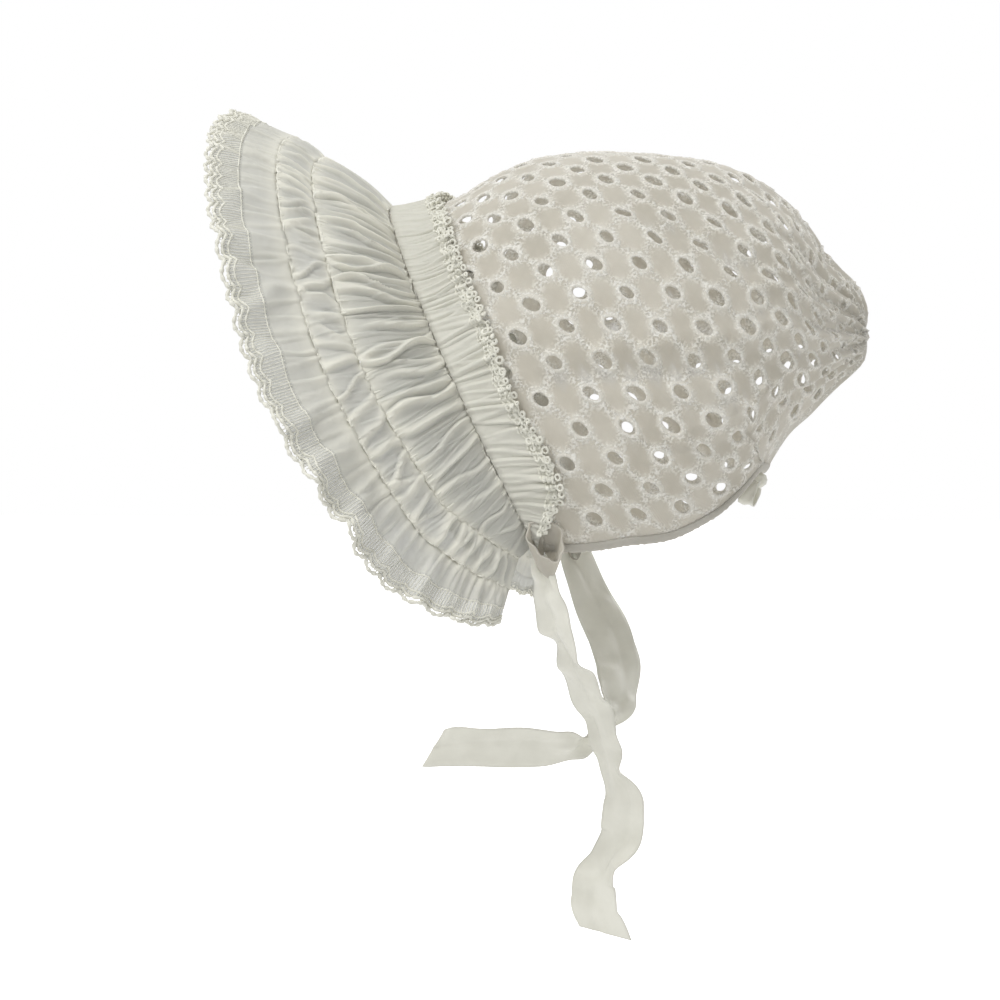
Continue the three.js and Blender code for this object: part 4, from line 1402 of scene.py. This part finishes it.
def make_bonnet():
    """Makes and dresses every piece."""
    cotton, organdy, thread, ribbon = eyelet_cotton(), sheer_organdy(), lace_thread(), satin()
    crown = dress(make_crown(), cotton, "eyelet_cotton", "crown")
    gathered(crown, CROWN_CUT, ["neck_casing"])

    steps, reach, size = (BAND_COLUMNS, 31), (0.01, 1), (0.5, INNER_BAND)
    inner = band_grid("inner_puff", inner_cloth, inner_layers_and_shading, steps, reach, size)
    dress(inner, organdy, "sheer_organdy", "inner_band")
    seam_a = dress(gather_line("seam_gathers", inner_cloth, 0.03, 110), thread, "sheer_organdy")
    seam_b = dress(gather_line("inner_gathers", inner_cloth, 0.985, 130), thread, "sheer_organdy")
    gathered(inner, INNER_BAND, ["crown_cloth"], [seam_a, seam_b])

    steps, reach, size = (BAND_COLUMNS, 14), (-0.03, 1), (0.5, MIDDLE_BAND)
    middle = band_grid("middle_puff", middle_cloth, middle_layers_and_shading, steps, reach, size)
    dress(middle, organdy, "sheer_organdy", "middle_band")
    seam_c = dress(gather_line("outer_gathers", middle_cloth, 0.985, 150), thread, "sheer_organdy")
    gathered(middle, MIDDLE_BAND, ["inner_puff"], [seam_c])

    steps, reach, size = (EDGE_COLUMNS, 14), (-0.02, NET_END), (0.6, EDGE_FRILL)
    edge = band_grid("edge_pleats", edge_cloth, edge_layers_and_shading, steps, reach, size)
    dress(edge, organdy, "sheer_organdy", "edge_frill")
    lace = dress(edge_lace(), thread, "sheer_organdy")
    gathered(edge, EDGE_FRILL, ["middle_puff"], [lace])

    u = np.linspace(-1, 1, EDGE_COLUMNS)[:, None]
    v = np.linspace(0, 1, HEADING_ROWS)[None, :]
    layers_and_fold_shading = {"layers_and_fold_shading": np.full((EDGE_COLUMNS, HEADING_ROWS), 0.75)}
    frill, across, along = heading_surface(u, v), u * 0.25, v * HEADING_FRILL
    heading = cloth_grid("heading_pleats", frill, BRIM_CLOTH, across, along, layers_and_fold_shading)
    dress(heading, organdy, "sheer_organdy", "heading_frill")
    knots = dress(heading_lace(), thread, "sheer_organdy")
    gathered(heading, HEADING_FRILL, ["crown_cloth"], [knots])

    binding = dress(make_binding(), cotton, "eyelet_cotton", "neck_binding")
    loops = [
        dress(make_bow_loop("bow_left", -1), ribbon, "satin_ribbon", "bow_loop_left"),
        dress(make_bow_loop("bow_right", 1), ribbon, "satin_ribbon", "bow_loop_right"),
    ]
    knot = dress(make_bow_knot(), ribbon, "satin_ribbon", "bow_knot")
    tucks = [
        dress(make_chin_tuck("chin_tuck_left", -1), cotton, "eyelet_cotton"),
        dress(make_chin_tuck("chin_tuck_right", 1), cotton, "eyelet_cotton"),
    ]
    gathered(binding, CASING_CUT, ["crown_cloth"], [*loops, knot, *tucks])

    for side, rows, sign in (("left", LEFT_TIE, -1), ("right", RIGHT_TIE, 1)):
        tie, length = make_tie(f"ribbon_{side}", rows, sign, 61 + sign)
        dress(tie, ribbon, "satin_ribbon", f"tie_{side}")


# Stage
TARGET = Vector((-0.044, 0, -0.136))
VIEW_YAW = math.radians(8)
VIEW_PITCH = math.radians(2)
VIEW_DISTANCE = 0.83
LENS = 74.7
SENSOR_WIDTH = 36
FLOOR_DROP = 0.1
SKY_LIGHT = 0.6
FLOOR_SIZE = 12
LAMPS = [
    # name, place, size and power in watts
    ("key", (-0.75, -0.9, 1.2), 0.7, 15),
    ("fill", (0.6, 1.1, 0.8), 1.2, 9),
]


def add_camera():
    data = bpy.data.cameras.new("camera")
    data.lens = LENS
    data.sensor_width = SENSOR_WIDTH
    camera = bpy.data.objects.new("camera", data)
    bpy.context.scene.collection.objects.link(camera)
    away = Vector((
        math.sin(VIEW_YAW) * math.cos(VIEW_PITCH),
        -math.cos(VIEW_YAW) * math.cos(VIEW_PITCH),
        math.sin(VIEW_PITCH),
    ))
    camera.location = TARGET + away * VIEW_DISTANCE
    camera.rotation_euler = (-away).to_track_quat("-Z", "Y").to_euler()
    bpy.context.scene.camera = camera


def add_lamp(name, place, size, power):
    data = bpy.data.lights.new(name, "AREA")
    data.size = size
    data.energy = power
    lamp = bpy.data.objects.new(name, data)
    bpy.context.scene.collection.objects.link(lamp)
    lamp.location = place
    lamp.rotation_euler = (TARGET - Vector(place)).to_track_quat("-Z", "Y").to_euler()


def add_stage():
    """A pale floor, a key lamp, a fill lamp, and a pale surround."""
    below = cad_box[0][2] - FLOOR_DROP
    bpy.ops.mesh.primitive_plane_add(size=FLOOR_SIZE, location=(0, 0, below))
    floor = bpy.context.object
    floor.name = "floor"
    finish = Finish("pale_floor", 0.9, Base_Color=(0.9, 0.9, 0.9, 1), Emission_Color=(1, 1, 1, 1))
    seen = finish.node("LightPath").outputs["Is Camera Ray"]
    finish.fill(finish.shader, Emission_Strength=seen)
    floor.data.materials.append(finish.material)
    world = bpy.data.worlds.new("surround")
    world.use_nodes = True
    nodes = Nodes(world.node_tree)
    seen = nodes.node("LightPath").outputs["Is Camera Ray"]
    sky = nodes.fill(nodes.node("MapRange"), Value=seen, To_Min=SKY_LIGHT)
    background = world.node_tree.nodes["Background"]
    nodes.fill(background, Color=(1, 1, 1, 1), Strength=sky["Result"])
    bpy.context.scene.world = world
    for name, place, size, power in LAMPS:
        add_lamp(name, place, size, power)
    bpy.context.scene.view_settings.view_transform = "Standard"


bpy.ops.object.select_all(action="DESELECT")
add_camera()
make_bonnet()
add_stage()
